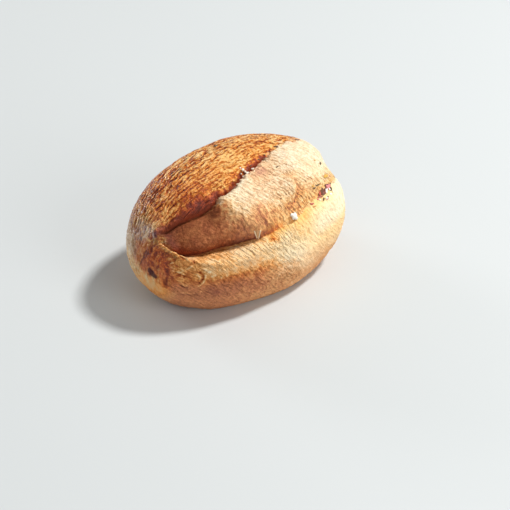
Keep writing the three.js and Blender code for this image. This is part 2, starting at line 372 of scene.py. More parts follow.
crest = ss(0.1, 0.95, bark)
h += amount * (0.20 * lines + 0.24 * f1 + 0.12 * f2 - 0.34 * valley)
grain = n3(stack(U / 1.3, V / 1.0, 0 * U + 6.1)) * (1 - end) + n3(W / 1.1) * end
h += 0.11 * top * grain

# tongue and front lobe: fine streaks that run across
lean_al = np.linspace(-95, 275, 741)
lean = 0.85 - 0.45 * ss(8, 24, lean_al) + 0.42 * ss(34, 52, lean_al)
lean_t = np.concatenate([[0], np.cumsum((lean[1:] + lean[:-1]) / 2 * np.radians(0.5) * 31.0)])
Q = V / 0.85
R = 0.85 * (X + np.interp(AL, lean_al, lean_t))
R = R + 0.7 * n1.fbm(W / 6.0, 2) + 0.25 * n3(W / 2.2)
furrow = np.where(top > 0.5, furrow_top, R / 1.55 + 0.5 * n2(stack(R / 3.0, Q / 4.0, 0 * R + 5.0)))
st = n3(stack(R / 1.4, Q / 4.4, 0 * R + 9.1)) * (1 - end) + n3(stack(Y / 1.6, Z / 3.6, 0 * R + 9.1)) * end
st2 = n4(stack(R / 0.9, Q / 2.4, 0 * R + 3.3)) * (1 - end) + n4(stack(Y / 0.95, Z / 2.0, 0 * R + 3.3)) * end
st_all = st + 0.6 * st2
pale_side = 1 - top
dish = np.clip(hollow_depth(X, AL) / 5.2, 0, 1) * tongue
brown = np.clip(hollow_depth(X + 0.9 - 3.0 * ss(42, 52, AL) + 2.2 * edge_n + 3.4 * n4(W / 1.7) * ss(-32, -24, X), AL) / 5.2, 0, 1) * tongue
brown = np.maximum(brown, 0.95 * tongue * ss(-36.5, -40.5, X))
streaky = pale_side * (1 - 0.97 * dish) * (1 - 0.45 * ss(4, -14, AL))
h += streaky * (0.26 * st + 0.17 * st2)
h += 0.06 * n5(W / 1.15) + 0.05 * n2(W / 0.8) + 0.10 * dish * n3(W / 1.5)

# a curved fold across the right of the tongue, and small marks low on its left
FOLD = np.array([(12.4, 58.6), (14.6, 56.2), (15.8, 53.5), (16.0, 50.5), (15.5, 47.2), (14.3, 43.4), (12.2, 40.0), (9.2, 36.4), (6.6, 33.6)])
fold_q = stack(np.interp(np.linspace(0, 8, 80), np.arange(9), FOLD[:, 0]), np.interp(np.linspace(0, 8, 80), np.arange(9), FOLD[:, 1]))
fold_d, fold_x = nearest(egg_point(X, AL), egg_point(fold_q[:, 0], fold_q[:, 1]))
fold_side = np.where(X > np.interp(AL, FOLD[::-1, 1], FOLD[::-1, 0]), 1.0, -1.0)
fold_on = tongue * ss(33, 37, AL) * (1 - ss(57, 60, AL))
h -= 0.9 * fold_on * np.exp(-(np.maximum(fold_d - 0.0, 0) / np.where(fold_side > 0, 2.6, 1.0)) ** 2)
ring2 = np.hypot((X + 6.8) * 1.4, (AL - 40.5) * 0.42)
mark2 = gauss(ring2, 2.2 + 0.4 * fine_n, 0.6)
h += 0.22 * mark2

# folds of the skin round the left end of the front lobe
fold_zone = front * ss(-47.4, -45.5, X2) * (1 - ss(-38, -30, X2)) * ss(0.6, 1.8, S2) * (1 - ss(9.5, 13, S2))
fold = np.cos(2 * np.pi * (S2 + 0.55 * edge_n + 0.3 * fine_n) / 2.9) * (0.55 + 0.45 * n4(W / 3.0))
h += 0.12 * fold_zone * fold
# single wrinkles of the left part of the front lobe: raised lines, then sunk ones, as (x, angle) points
RAISED = [
    ([(-47.2, 54.0), (-46.7, 47.7), (-45.5, 42.5), (-43.9, 38.4), (-42.7, 33.5), (-41.9, 28.9), (-41.4, 25.0)], 0.45, 0.22, 0.8),
    ([(-47.1, 34.1), (-45.9, 33.6), (-43.8, 34.8)], 0.40, 0.26, 0.7),
    ([(-47.2, 27.0), (-45.9, 29.7), (-44.4, 30.5)], 0.42, 0.28, 0.7),
    ([(-45.6, 13.0), (-44.3, 15.1), (-42.7, 17.0), (-40.7, 20.1)], 0.45, 0.30, 0.75),
    ([(-36.8, 7.8), (-37.3, 2.5), (-38.1, -0.8), (-39.1, -3.1), (-40.5, -4.3)], 0.48, 0.34, 0.9),
    ([(-40.9, 10.4), (-39.8, 10.6), (-39.0, 7.5), (-38.9, 4.0)], 0.42, 0.26, 0.6),
    ([(-46.4, 3.9), (-45.0, 1.3), (-44.0, -3.9), (-43.0, -3.5), (-42.4, -6.1)], 0.48, 0.30, 0.6),
    ([(-46.1, -16.8), (-43.5, -14.6), (-41.3, -15.2), (-38.7, -10.7), (-37.4, -8.1)], 0.42, 0.16, 0.4),
    ([(-48.6, 8.0), (-48.2, -2.0), (-47.0, -9.0)], 0.45, 0.16, 0.4),
]
SUNK = [
    ([(-38.7, 11.7), (-37.7, 8.1), (-37.6, 4.8), (-38.4, 1.6), (-39.5, -0.6)], 0.50, 0.36, 0.8),
    ([(-45.7, -3.6), (-44.5, -7.4), (-43.6, -8.3), (-43.0, -6.4)], 0.50, 0.30, 0.7),
    ([(-45.7, -20.1), (-43.7, -19.0), (-41.8, -18.1), (-39.7, -13.7)], 0.38, 0.16, 0.4),
    ([(-47.0, 30.4), (-45.6, 31.5), (-44.2, 32.2)], 0.42, 0.26, 0.7),
    ([(-46.6, 40.0), (-45.2, 37.0), (-43.6, 33.0), (-42.8, 29.0)], 0.45, 0.20, 0.5),
    ([(-45.6, 10.2), (-44.2, 8.6)], 1.00, 0.40, 1.0),
    ([(-47.8, 27.5), (-48.3, 20.0), (-48.6, 9.4), (-49.1, -9.0)], 1.25, 0.20, 0.95),
    ([(-39.6, 25.6), (-39.9, 22.4)], 0.50, 0.50, 0.6),
]
egg_body = egg_point(X, AL)
left_part = (X < -30) & (Y < 2)
raised, sunk = np.zeros_like(X), np.zeros_like(X)
for curves, total, sign in ((RAISED, raised, 1), (SUNK, sunk, -1)):
    for pts, width, height, tone in curves:
        q = np.array(pts)
        t = np.linspace(0, len(q) - 1, 40)
        q = stack(np.interp(t, np.arange(len(q)), q[:, 0]), np.interp(t, np.arange(len(q)), q[:, 1]))
        d = np.full(X.shape, 99.0)
        d[left_part] = nearest(egg_body[left_part], egg_point(q[:, 0], q[:, 1]))[0]
        g = gauss(d, 0, (0.68 if sign > 0 else 0.9) * width * (1 + 0.3 * fine_n)) * ss(-1.0, 0.15, n2(W / 2.1) + 0.5 * n4(W / 1.0))
        h += sign * 1.35 * height * g
        np.maximum(total, tone * g, out=total)
for x_, al_ in ((-44.1, 10.6), (-34.4, 5.7), (-33.2, 6.2), (-31.0, 3.2), (-28.6, 4.0), (-36.5, 13.0), (-35.0, 10.5)):
    d = np.linalg.norm(egg_body - egg_point(np.array([x_]), np.array([al_])), axis=1)
    h += 0.22 * gauss(d, 0, 0.55)
    raised = np.maximum(raised, 0.9 * gauss(d, 0, 0.55))

body = P + N0 * h[:, None]
# flat underside with a soft edge
zz = body[:, 2]
soft = 1.2
body[:, 2] = np.where(zz > soft, zz, np.where(zz < -soft, 0.0, (zz + soft) ** 2 / (4 * soft)))

# ------------------------------------------------------------------ masks
edge1 = S1 + ss(12, 24, X) * (3.2 * edge_n + 3.8 * fine_n) + 0.25 * fine_n
edge1 = edge1 - 1.5 * gauss(X, 24.5, 3.5) + 3.0 * gauss(X, 35.5, 4.2) - 0.8 * gauss(X, 14.5, 2.0)
glaze_top = ss(-0.25, 0.45, edge1)
# the brush ends low on the back
low_back = Z - 17 - 4.5 * n1.fbm(W / 12.0, 2) - 1.5 * edge_n
glaze_top = glaze_top * np.where(AL > 150, ss(-2, 3, low_back), 1.0)
# round the left tip: streaks run down from the brushed top
run = n4(stack(Y / 1.5, Z / 7.0, 0 * V + 1.7))
tip_line = Z - (24.5 + 4.5 * run + 2.0 * edge_n)
glaze_tip = ss(-2.5, 3.0, tip_line) * ss(-42.5, -48.0, X + 1.4 * edge_n) * (S1 <= 0)
drip = np.maximum(gauss(Y + 4.6, 0, 0.9) * gauss(Z, 20, 5.0), gauss(Y + 8.6, 0, 0.7) * gauss(Z, 22, 4.5)) * (X < -44)
glaze = np.clip(np.maximum(np.maximum(glaze_top, glaze_tip), drip * (S1 <= 0)), 0, 1)

# how far the dough is browned, 0 pale to 1 dark
bake = 0.34 + 0.10 * lowf + 0.07 * midf
# tongue: cream to the right, browner low down and to the left
bake += tongue * (-0.16 * ss(8, 26, X) - 0.06)
bake += 0.12 * tongue * ss(-11, -2.0, S2) * (1 - ss(2, 16, X)) * (1 - brown)
bake += 0.26 * tongue * ss(-6, -1.0, S2) * (1 - ss(-4, 3, X)) * (1 - brown) + 0.10 * tongue * ss(-10, -2, S2) * gauss(X, 14, 9)
bake += 0.10 * tongue * gauss(X, 0, 7) * ss(-10, -1, S1) * (1 - brown) + 0.10 * tongue * gauss(X, -14, 9) * gauss(AL, 38, 6) * (1 - brown)
bake += 0.16 * tongue * gauss(X, -2, 6) * gauss(S2, -1.4, 1.8) - 0.03 * tongue * gauss(X, 11, 5) * gauss(AL, 40, 8) + tongue * fold_on * (0.24 * gauss(fold_d, 0.2, 0.55) * ss(-0.5, 0.4, n2(W / 2.5)) + (0.08 * gauss(fold_d, 0, np.where(fold_side > 0, 3.4, 2.2)) * ss(54, 46, AL)) * (0.75 + 0.7 * st))
bake -= 0.05 * tongue * (1 - brown) * ss(-24, -16, X) * (1 - ss(8, 16, X)) * ss(36, 42, AL)
mottle = tongue * (1 - brown) * ss(-24, -18, X) * (1 - ss(0, 6, X)) * ss(48, 40, AL) * ss(0.25, 0.55, n4(W / 1.9))
bake += 0.16 * mottle
bake += tongue * brown * (0.55 + 0.08 * ss(-6, -1, S1) * ss(-24, -32, X) + 0.06 * ss(-7, -1, S2))
# painted shade: darker at the bottom of the hollow along the lower lip, at the left
bake += 0.26 * tongue * gauss(S2, -1.6, 2.0) * ss(-33, -39, X)
bake += tongue * brown * (-0.07 * gauss(X, -33, 5.5) + 0.12 * ss(-37.5, -42, X) - 0.05 * gauss(X, -25, 4) * ss(44, 36, AL))
bake += 0.13 * tongue * gauss(X, 4, 6) * gauss(S1, -5.5, 4.5)
bake += 0.10 * gauss(X, 18.7, 3.5) * gauss(AL, 30.5, 4.0) + 0.08 * front * gauss(X, -7, 8) * gauss(AL, -19, 9)
bake += 0.20 * tongue * gauss(X, -19, 4) * (1 - brown) * ss(-4.0, -9.0, S1)
bake -= 0.26 * tongue * gauss(S1, -0.9, 1.5) * ss(-24, -20, X) * (1 - ss(-8, 0, X))
bake += 0.16 * tongue * gauss(S1, -1.0, 3.5) * gauss(X, 3, 6)
bake += 0.16 * tongue * mark2 + 0.14 * tongue * gauss(np.hypot((X + 9.0) * 0.8, (AL - 41) * 0.35), 0, 2.2)
# front lobe: pale ridge, browned side, paler foot
bake += front * (-0.08 * gauss(S2, 4.0, 5.0) * ss(-40, -30, X2) - 0.12 * ss(-6, 20, X))
bake -= 0.04 * front * gauss(X, -12, 15) * gauss(AL, 9, 7)
bake += 0.08 * front * gauss(X, -11, 7) * gauss(AL, 3.5, 5.5)
bake -= 0.13 * front * gauss(S2, 1.5, 2.2) * ss(-24, -18, X) * (1 - ss(1, 7, X))
bake -= 0.09 * tongue * gauss(X, -17, 6) * gauss(AL, 50, 9) * (1 - brown)
# paler low on the front of the front lobe: painted light where the face turns from the lamps
bake -= 0.14 * front * gauss(X, 3, 9) * gauss(AL, 2, 12)
bake += 0.14 * front * gauss(X, 21, 6) * gauss(AL, -10, 8) + 0.14 * front * gauss(X, 14, 5) * gauss(S2, 2.2, 2.4) - 0.05 * front * gauss(X, -8, 22) * ss(-2, -12, AL)
bake += 0.30 * front * gauss(X, -8.0, 4.0) * gauss(AL, 18.6, 2.4) * ss(-0.1, 0.5, n4(W / 1.3))
bake += 0.42 * front * gauss(np.hypot(X + 5.2, (AL - 19.3) * 0.55), 0, 1.0) + 0.25 * front * gauss(np.hypot(X + 3.6, (AL - 17.6) * 0.55), 0, 1.2)
bake += 0.45 * tongue * gauss(np.hypot(X + 7.2, (AL - 33.0) * 0.55), 0, 0.8)
bake += 0.10 * front * ss(-6, -16, AL) * ss(-48, -44, X) * (1 - ss(-24, -12, X))
bake += 0.26 * front * ss(6.5 + 2.0 * ss(-34, -24, X), 13, S2 + 1.6 * edge_n) * (1 - ss(-24, 2, X)) * (1 - 0.75 * ss(-6, -24, AL))
bake += 0.07 * front * ss(9, 16, S2) * ss(-24, -6, X) * (1 - ss(-4, 14, X)) * (1 - 0.5 * ss(-10, -26, AL))
bake += 0.10 * front * ss(-8, -24, AL) * ss(-4, 12, X)
bake += 0.16 * front * gauss(S2, 5.0, 5.0) * ss(-34, -44, X)
bake -= 0.12 * ss(-12, -34, AL) * ss(-44, -48, X) + 0.10 * ss(24, 18, Z) * ss(-49, -51, X)
bake += 0.14 * gauss(S2, 0, 1.6) * (1 - ss(-14, -2, X)) - 0.12 * gauss(S2, 0, 3.0) * ss(-6, 4, X) * (1 - ss(16, 26, X))
bake -= 0.24 * front * ss(-2, 16, X) * ss(-24, -8, AL)
bake -= 0.10 * front * gauss(S2, 4.0, 5.0) * ss(-36, -26, X) + 0.08 * front * ss(-22, -8, X) * ss(-20, -2, AL)
bake += 0.06 * front * ss(-4, -18, AL) * (1 - ss(0, 14, X))
bake -= 0.22 * tongue * gauss(X, 3, 5.5) * gauss(S2, -1.4, 2.2) + 0.10 * tongue * (1 - brown) * gauss(X, -17, 5) * gauss(AL, 49, 6)
bake -= 0.20 * tongue * gauss(np.hypot(X + 20.8, (AL - 60.5) * 0.55), 0, 1.6) + 0.06 * tongue * brown * gauss(X, -34, 4) * gauss(AL, 45, 8)
bake += 0.10 * front * gauss(X, 13.5, 4) * gauss(S2, 2.2, 2.4) + 0.05 * front * ss(2, -8, AL) + 0.05 * front * gauss(X, 24, 10) * ss(2, -8, AL)
bake -= 0.06 * front * ss(-26, -18, X) * (1 - ss(3, 9, X)) * gauss(AL, 13, 8) + 0.15 * tongue * gauss(X, -3, 4.5) * gauss(S2, -2.2, 2.4) + 0.05 * tongue * brown * gauss(X, -39, 4) * gauss(AL, 38, 8) + 0.12 * gauss(X, -50.6, 2.2) * gauss(AL, -3, 9)
bake += 0.10 * tongue * gauss(X, 3, 4) * gauss(AL, 64, 5) - 0.06 * front * gauss(X, -22, 4) * gauss(AL, 12, 5) - 0.07 * front * gauss(X, -1, 6) * gauss(AL, 8, 6) + 0.07 * front * gauss(X, -5.4, 3.5) * gauss(AL, 19.3, 2.5) + 0.06 * front * gauss(X, 10.7, 4) * gauss(S2, 2.6, 2)
bake += -0.06 * gauss(X, -50.5, 1.8) * gauss(AL, 54, 15) + 0.07 * gauss(X, 3.5, 2.5) * gauss(S2, -0.4, 1.3) - 0.14 * gauss(X, 1, 3.2) * gauss(S2, -0.5, 1.6) - 0.12 * tongue * gauss(X, 0, 5.5) * gauss(S2, -3.0, 2.6) - 0.10 * front * gauss(X, -20, 4.5) * gauss(S2, 2.2, 2.0) - 0.05 * front * gauss(X, -19, 5) * gauss(AL, 9.6, 5) - 0.08 * front * gauss(X, 6, 6) * gauss(AL, -3, 8) + 0.12 * gauss(X, 7, 3) * gauss(S2, -0.3, 1.5) + 0.05 * front * gauss(X, -5, 4) * gauss(AL, 18, 4) + 0.05 * front * gauss(X, 16, 5) * gauss(AL, 8, 6)
bake += 0.04 * front * gauss(X, -12, 6) * gauss(AL, 2, 6) + 0.06 * front * gauss(X, -29, 6) * gauss(AL, 1, 6) + 0.05 * tongue * gauss(X, 30, 7) * gauss(AL, 62, 8) + 0.035 * tongue * brown * ss(-26, -30, X)
# raised wrinkles paler and sunk ones darker: partly own colour, partly painted highlight on the raised lines and
# painted shade in the sunk ones
bake += 0.44 * sunk - 0.50 * raised
bake = np.clip(bake, 0, 1)
# orange warmth in the soft end of the lower cleft
warm = gauss(S2 + 1.2, 0, np.where(S2 < -1.2, 7.5, 2.6 + 3.0 * ss(3, 9, X))) * ss(-18, -2, X) * (1 - ss(30, 42, X) * (S2 > -1.2))
warm = np.maximum(warm, fold_on * np.exp(-(fold_d / np.where(fold_side > 0, 7.0, 3.2)) ** 2))
warm = np.maximum(warm, 0.8 * tongue * gauss(X, 34, 6) * gauss(AL, 44, 8))
warm = np.maximum(warm, 1.3 * gauss(X, -1, 9) * gauss(S2, -1.5, 3.6))
warm = np.maximum(warm, 0.9 * tongue * gauss(X, 9, 9) * gauss(AL, 34, 10))
warm = np.clip(warm * (0.75 + 0.5 * midf), 0, 1)

# glaze shade, 0 amber to 1 near black
drips = n4(stack(U / 1.3, V / 5.0, 0 * U + 4.0))
reach = 1.6 + 6.0 * gauss(X, -28, 7.5) + 0.8 * ss(-36, -44, X) + 1.9 * gauss(X, 3.5, 5.5)
shade = 0.34 + 0.11 * lowf + 0.12 * midf
shade += (0.42 - 0.10 * ss(-30, -38, X)) * top * (1 - ss(0.30, 1.0, (S1 + 1.5 * drips) / reach)) * (1 - ss(10, 17, X))
shade += 0.08 * top * gauss(X, -7, 5) * gauss(S1, 4, 4) + 0.07 * top * gauss(X, -23.5, 4) * gauss(S1, 9, 4) - 0.07 * top * ss(-36, -42, X)
shade += (0.05 * ss(112, 140, AL) + 0.05 * ss(100, 112, AL) * ss(8, -6, X)) * top + 0.10 * top * ss(-16, -36, X) * ss(86, 104, AL)
band = top * (1 - ss(0.4, 1.15, (S1 + 1.2 * drips) / reach)) * (1 - ss(10, 17, X))
# glaze paler at the left end of the back lobe: painted sheen
shade -= 0.12 * top * ss(-38, -46, X) * ss(66, 80, AL)
shade -= 0.12 * top * gauss(X, -2, 22) * gauss(AL, 86, 16) + 0.10 * top * gauss(X, -4, 16) * gauss(AL, 92, 10)
shade += 0.05 * top * ss(-30, -40, X) + 0.04 * top * gauss(X, 15, 8) * gauss(AL, 93, 6)
shade -= 0.10 * top * gauss(X, -17, 6) * gauss(S1, 5.5, 4) + 0.10 * top * gauss(X, 23, 6) * gauss(S1, 4, 4)
# painted glare: a pale reflection streaked over the glazed left end of the back lobe
glare = top * ss(-44.5, -47.0, X) * ss(76, 86, AL) * (1 - ss(106, 120, AL)) * ss(33.5, 37.0, Z + 1.5 * run)
glare = np.clip(1.0 * glare + 0.12 * ss(-50.0, -51.6, X) * ss(16, 22, Z) * ss(-8, -3, Y), 0, 1)
shade += 0.34 * top * ss(8, 16, X) * gauss(edge1, 0.8, 1.0) * ss(-0.1, 0.4, n4(W / 2.4))
shade -= 0.07 * top * gauss(X, -35.7, 4) * gauss(AL, 83, 6)
shade += 0.07 * top * gauss(X, 15, 6) * ss(13, 3, S1)
shade += 0.10 * ss(18, 26, X) * top + 0.06 * top * gauss(X, 12, 6) * gauss(AL, 95, 8)
shade += 0.12 * glaze_tip + 0.26 * ss(-47, -49.5, X) * gauss(Z, 29, 5) * ss(5, 1, Y)
shade -= 0.03
shade += 0.12 * top * gauss(X, -0.7, 3) * gauss(S1, 0.8, 1.8) - 0.07 * top * gauss(X, -50.4, 1.8) * gauss(AL, 113, 22) + 0.07 * top * gauss(X, -23, 4) * gauss(AL, 76, 5) + 0.06 * top * gauss(X, -8, 4) * gauss(AL, 75, 4) + 0.08 * top * gauss(X, -1, 3) * gauss(S1, 1.5, 2.5) + 0.05 * top * gauss(X, -43, 3) * gauss(AL, 85, 8) + 0.10 * ss(-49, -50.5, X) * gauss(AL, 85, 20)
# dark burnt spots low on the left end
spot_and_corner_shade = np.maximum(ss(1.6, 0.9, np.hypot((Y + 6.9) * 1.2, (Z - 24.0) * 0.62) + 0.5 * fine_n), ss(1.7, 1.0, np.hypot((Y + 8.9) * 0.85, (Z - 22.6) * 1.0) + 0.55 * fine_n)) * (X < -40)
spot_and_corner_shade = np.maximum(spot_and_corner_shade, ss(2.0, 1.0, np.hypot(Y + 8.1, (Z - 23.3) * 0.85) + 0.6 * fine_n) * (X < -40))
spot_and_corner_shade = np.maximum(spot_and_corner_shade, 0.5 * gauss(np.hypot(Y + 10.8, (Z - 27.0) * 0.9), 0, 1.3) * (X < -40) * ss(-0.8, 0.2, fine_n))
# painted shade in the corner at the left end of the upper cleft, and just above it
spot_and_corner_shade = np.maximum(spot_and_corner_shade, 0.9 * gauss(np.hypot(X + 46.5, S1 - 0.6), 0, 1.6))
spot_and_corner_shade = np.maximum(spot_and_corner_shade, 0.6 * gauss(np.hypot((X + 46.4) * 1.3, (S1 - 3.6) * 0.6), 0, 1.3) * ss(-0.6, 0.3, fine_n))
# the first list: streaks of painted reflection; the second: darker glaze between them; as (x, angle) end points
GLINT_STREAKS = [((-48.1, 106.9), (-50.0, 105.8)), ((-47.2, 99.3), (-49.1, 88.2)), ((-45.9, 93.0), (-47.9, 88.7)), ((-46.0, 82.9), (-47.6, 72.0)), ((-48.2, 121.0), (-49.9, 122.5))]
DARK = [((-47.9, 102.6), (-49.7, 97.2)), ((-46.0, 87.6), (-48.3, 79.0)), ((-48.3, 113.5), (-50.1, 113.0)), ((-45.6, 78.0), (-46.8, 70.0)), ((-46.9, 95.8), (-48.2, 92.5))]
glint_paint, dark_mark = np.zeros_like(X), np.zeros_like(X)
near_tip = (X < -40) & (Z > 25)
for marks, total, width in ((GLINT_STREAKS, glint_paint, 0.40), (DARK, dark_mark, 0.50)):
    for (xa, aa), (xb, ab) in marks:
        t = np.linspace(0, 1, 14)
        d = nearest(egg_body[near_tip], egg_point(xa + (xb - xa) * t, aa + (ab - aa) * t))[0]
        total[near_tip] = np.maximum(total[near_tip], gauss(d, 0, width * (1 + 0.45 * fine_n[near_tip])))
glare = np.maximum(0.65 * glare, glint_paint)
shade += 0.50 * dark_mark
shade = np.clip(shade, 0, 1)

amber = top * gauss(np.maximum(S1 - 6, 0), 0, 9.0) * (1 - 0.6 * ss(16, 26, X)) * ss(-46, -38, X)
amber = np.clip(amber + 0.35 * top * (1 - 0.8 * ss(82, 92, AL) * ss(-20, -8, X)) + 0.8 * glaze_tip * ss(-47, -49, X) * (1 - top) + 0.5 * top * (1 - ss(8, 20, X)) * ss(-40, -30, X), 0, 1)
# pale streaks on the front lobe's ridge: partly the skin's own colour, partly painted highlight
streaks_light = front * gauss(S2, 4.5, 4.5) * ss(-40, -32, X) * (1 - ss(2, 12, X))
# redder, darker skin: in the band above the cleft, at the left end and round the tip
tip_red = ss(-44.5, -48.5, X) * ss(19, 26, Z + 3.0 * run) * (1 - ss(34, 38.5, Z + 1.5 * run)) * ss(7, 3, Y)
maroon = np.maximum(0.8 * dark_mark + 0.9 * gauss(X, -48.4, 1.3) * gauss(AL, 10, 18) * (Y < -9), gauss(np.hypot(X + 32.4, (AL + 11.0) * 0.5), 0, 1.7))
maroon = np.maximum(maroon, 0.8 * gauss(np.hypot(X + 34.8, (AL + 7.0) * 0.6), 0, 1.1)) * ss(-0.9, 0.3, fine_n + n2(W / 1.2))
bake = np.clip(bake + 0.24 * maroon, 0, 1)
red = np.clip(0.8 * maroon + 0.9 * band + 0.25 * top * ss(-26, -38, X) * (1 - ss(-43, -48, X)) + 0.9 * tip_red + 0.25 * top * gauss(X, -24, 12) * gauss(S1, 10, 8) + 0.28 * front * gauss(X, -17, 9) * gauss(AL, 11, 7) + 0.35 * tongue * gauss(np.hypot(X + 20.8, (AL - 60.5) * 0.55), 0, 2.4), 0, 1)
golden = np.clip(front * (1 - 0.8 * ss(-6, -22, AL)) * (0.55 + 0.35 * ss(-4, 10, X)) * (1 - 0.6 * gauss(X, 5, 9) * gauss(AL, 0, 9)) * (1 - 0.85 * ss(12, 22, X) * ss(2, 12, AL)) + 0.25 * tongue * ss(12, 22, X) * (1 - ss(44, 56, AL))
                 + 0.8 * ss(-46, -49, X) * ss(22, 16, Z) + 0.9 * gauss(X, 2, 8) * gauss(S2, -1.0, 2.6) + 0.45 * front * ss(-36, -27, X) * (1 - ss(-14, 3, X)) * gauss(AL, 11, 8) + 0.5 * tongue * gauss(np.hypot(X + 20.8, (AL - 60.5) * 0.55), 0, 2.4), 0, 1)
# lighter or darker colour over whole stretches; low on the front of the front lobe (x near 5 to 9, angle near 0) the
# lightening is painted light on a face turned from the lamps, and the raised and sunk wrinkles are partly painted
# highlight and painted shade
tone = (-0.17 * front * gauss(X, -23, 14) * gauss(AL, 12, 8) - 0.09 * front * gauss(X, -6, 16) * gauss(AL, 6, 13) - 0.10 * front * gauss(X, 5, 9) * gauss(AL, 0, 9) - 0.18 * gauss(X, 6, 9) * gauss(S2, 0, 5) - 0.02 * tongue * (1 - brown) * (1 - ss(10, 20, X))
        - 0.07 * front * gauss(X, -20, 6) * gauss(AL, 10, 5) - 0.11 * front * gauss(X, -21, 6) * gauss(AL, 20, 3.5) - 0.10 * tongue * gauss(X, 10, 7) * gauss(AL, 37, 7) - 0.08 * tongue * gauss(X, -20.5, 3) * gauss(S1, -1.0, 2.0)
        - 0.26 * gauss(S2, -0.4, 1.6) * ss(-11, -6, X) * (1 - ss(6, 11, X)) - 0.08 * front * gauss(X, 3, 7) * gauss(AL, -5, 6) - 0.07 * tongue * gauss(X, -18, 5) * gauss(AL, 54, 6) * (1 - brown) - 0.06 * front * gauss(X, -19.7, 5) * gauss(AL, 9.6, 5) - 0.05 * front * gauss(X, -21, 5) * gauss(AL, 20, 3.5)
        - 0.14 * tongue * gauss(X, 1, 7) * gauss(S2, -1.2, 2.2) - 0.05 * front * gauss(X, 12, 8) * gauss(AL, 4, 8)
        - 0.09 * gauss(X, -20, 8) * gauss(AL, 13, 7) * front - 0.09 * front * gauss(X, 9, 10) * gauss(AL, 3, 9) - 0.13 * ss(-41, -46, X) * ss(36, 28, Z) - 0.12 * ss(-46, -49.5, X) * ss(37, 30, Z) - 0.06 * ss(-48.5, -50, X) * ss(28, 24, Z) - 0.06 * top * ss(-38, -44, X)
        + 0.07 * red - 0.05 * front * ss(-14, -30, AL) + 0.22 * sunk - 0.20 * raised + 0.12 * front * gauss(X, 13, 4) * gauss(S2, 2.0, 2.6) - 0.05 * ss(-44, -50, X) * ss(40, 46, Z))
gloss = np.clip(0.20 + 0.40 * ss(-43, -48, X) * ss(30, 38, Z) + 0.5 * ss(100, 112, AL) * ss(-6, -26, X), 0, 1) * (1 - 0.6 * band) * (1 - 0.6 * tip_red)
# furrows darker and crests paler: partly the skin's own colour (glaze pooled in furrows), partly painted shade in the
# furrows and painted highlight on the crests
groove = np.clip(amount * valley + 0.8 * streaky * ss(0.0, -0.8, st_all) + 0.3 * fold_zone * ss(0.2, -0.9, fold) + 0.7 * sunk, 0, 1)
ridge = np.clip(amount * crest + streaky * ss(0.0, 0.8, st_all) + 0.4 * fold_zone * ss(0.3, 1.0, fold) + 0.8 * raised, 0, 1)
# painted crease shade: darker red-brown along the bottoms of both clefts, over skin that is baked browner there
crease_shade = np.maximum((1 - 0.75 * ss(-36, -42, X)) * gauss(S1, 0.5, 1.1) * ss(-0.35, 0.0, S1) * ss(START, START + 6, X1) * (1 - ss(0, 16, X1)),
                  (0.75 + 0.15 * ss(-34, -40, X2)) * gauss(S2 + 0.8, 0, 1.6 + 1.0 * ss(-34, -40, X2)) * ss(0.7, 0.1, S2) * ss(-46, -42, X2) * (1 - 0.6 * ss(-30, -22, X2)) * (1 - ss(-14, -6, X2)))
crease_shade = np.clip(crease_shade, 0, 1)
# painted shade under the back lobe's lip, at the left end of the upper cleft
lip_shade = top * gauss(S1, 0.4, 2.2 + 1.0 * edge_n) * ss(-30, -38, X) * ss(-48.0, -46.0, X) * (0.85 + 0.5 * fine_n)
foot = front * ss(4, -8, AL) * ss(-49.5, -46, X) * (1 - 0.6 * ss(18, 34, X))
olive = tongue * brown * (1 - 0.4 * ss(-28, -22, X))
# painted sheen: a pale grey-lavender reflection on the glazed left end, near its outline
sheen_paint = 0.35 * top * gauss(X, -43.5, 3) * gauss(AL, 86, 9) + ss(0, 5, Y + 1.5 * run) * ss(-43, -48, X) * ss(23, 28, Z) * (1 - ss(34, 39, Z))
# a thin pale line along the front lobe's lip edge at the left: paler skin there, plus painted highlight where the edge
# catches the light
lip_highlight = front * gauss(S2, 0.7, 0.5) * ss(-47.2, -46, X2) * (1 - ss(-39, -34, X2))

# ------------------------------------------------------------------ place it in the row frame
lo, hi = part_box("bread")
centre = Vector(((lo.x + hi.x) / 2, (lo.y + hi.y) / 2, lo.z))
scale = 0.001
co = body * scale + np.array(centre)
me = make_mesh("bread_crust", co, QUADS, TRIS)
bread = bpy.data.objects.new("bread_crust", me)
bpy.context.scene.collection.objects.link(bread)


def attribute(me, name, values, kind="FLOAT"):
    a = me.attributes.new(name, kind, "POINT")
    v = np.asarray(values, np.float32)
    a.data.foreach_set("value" if kind == "FLOAT" else "vector", v.ravel())


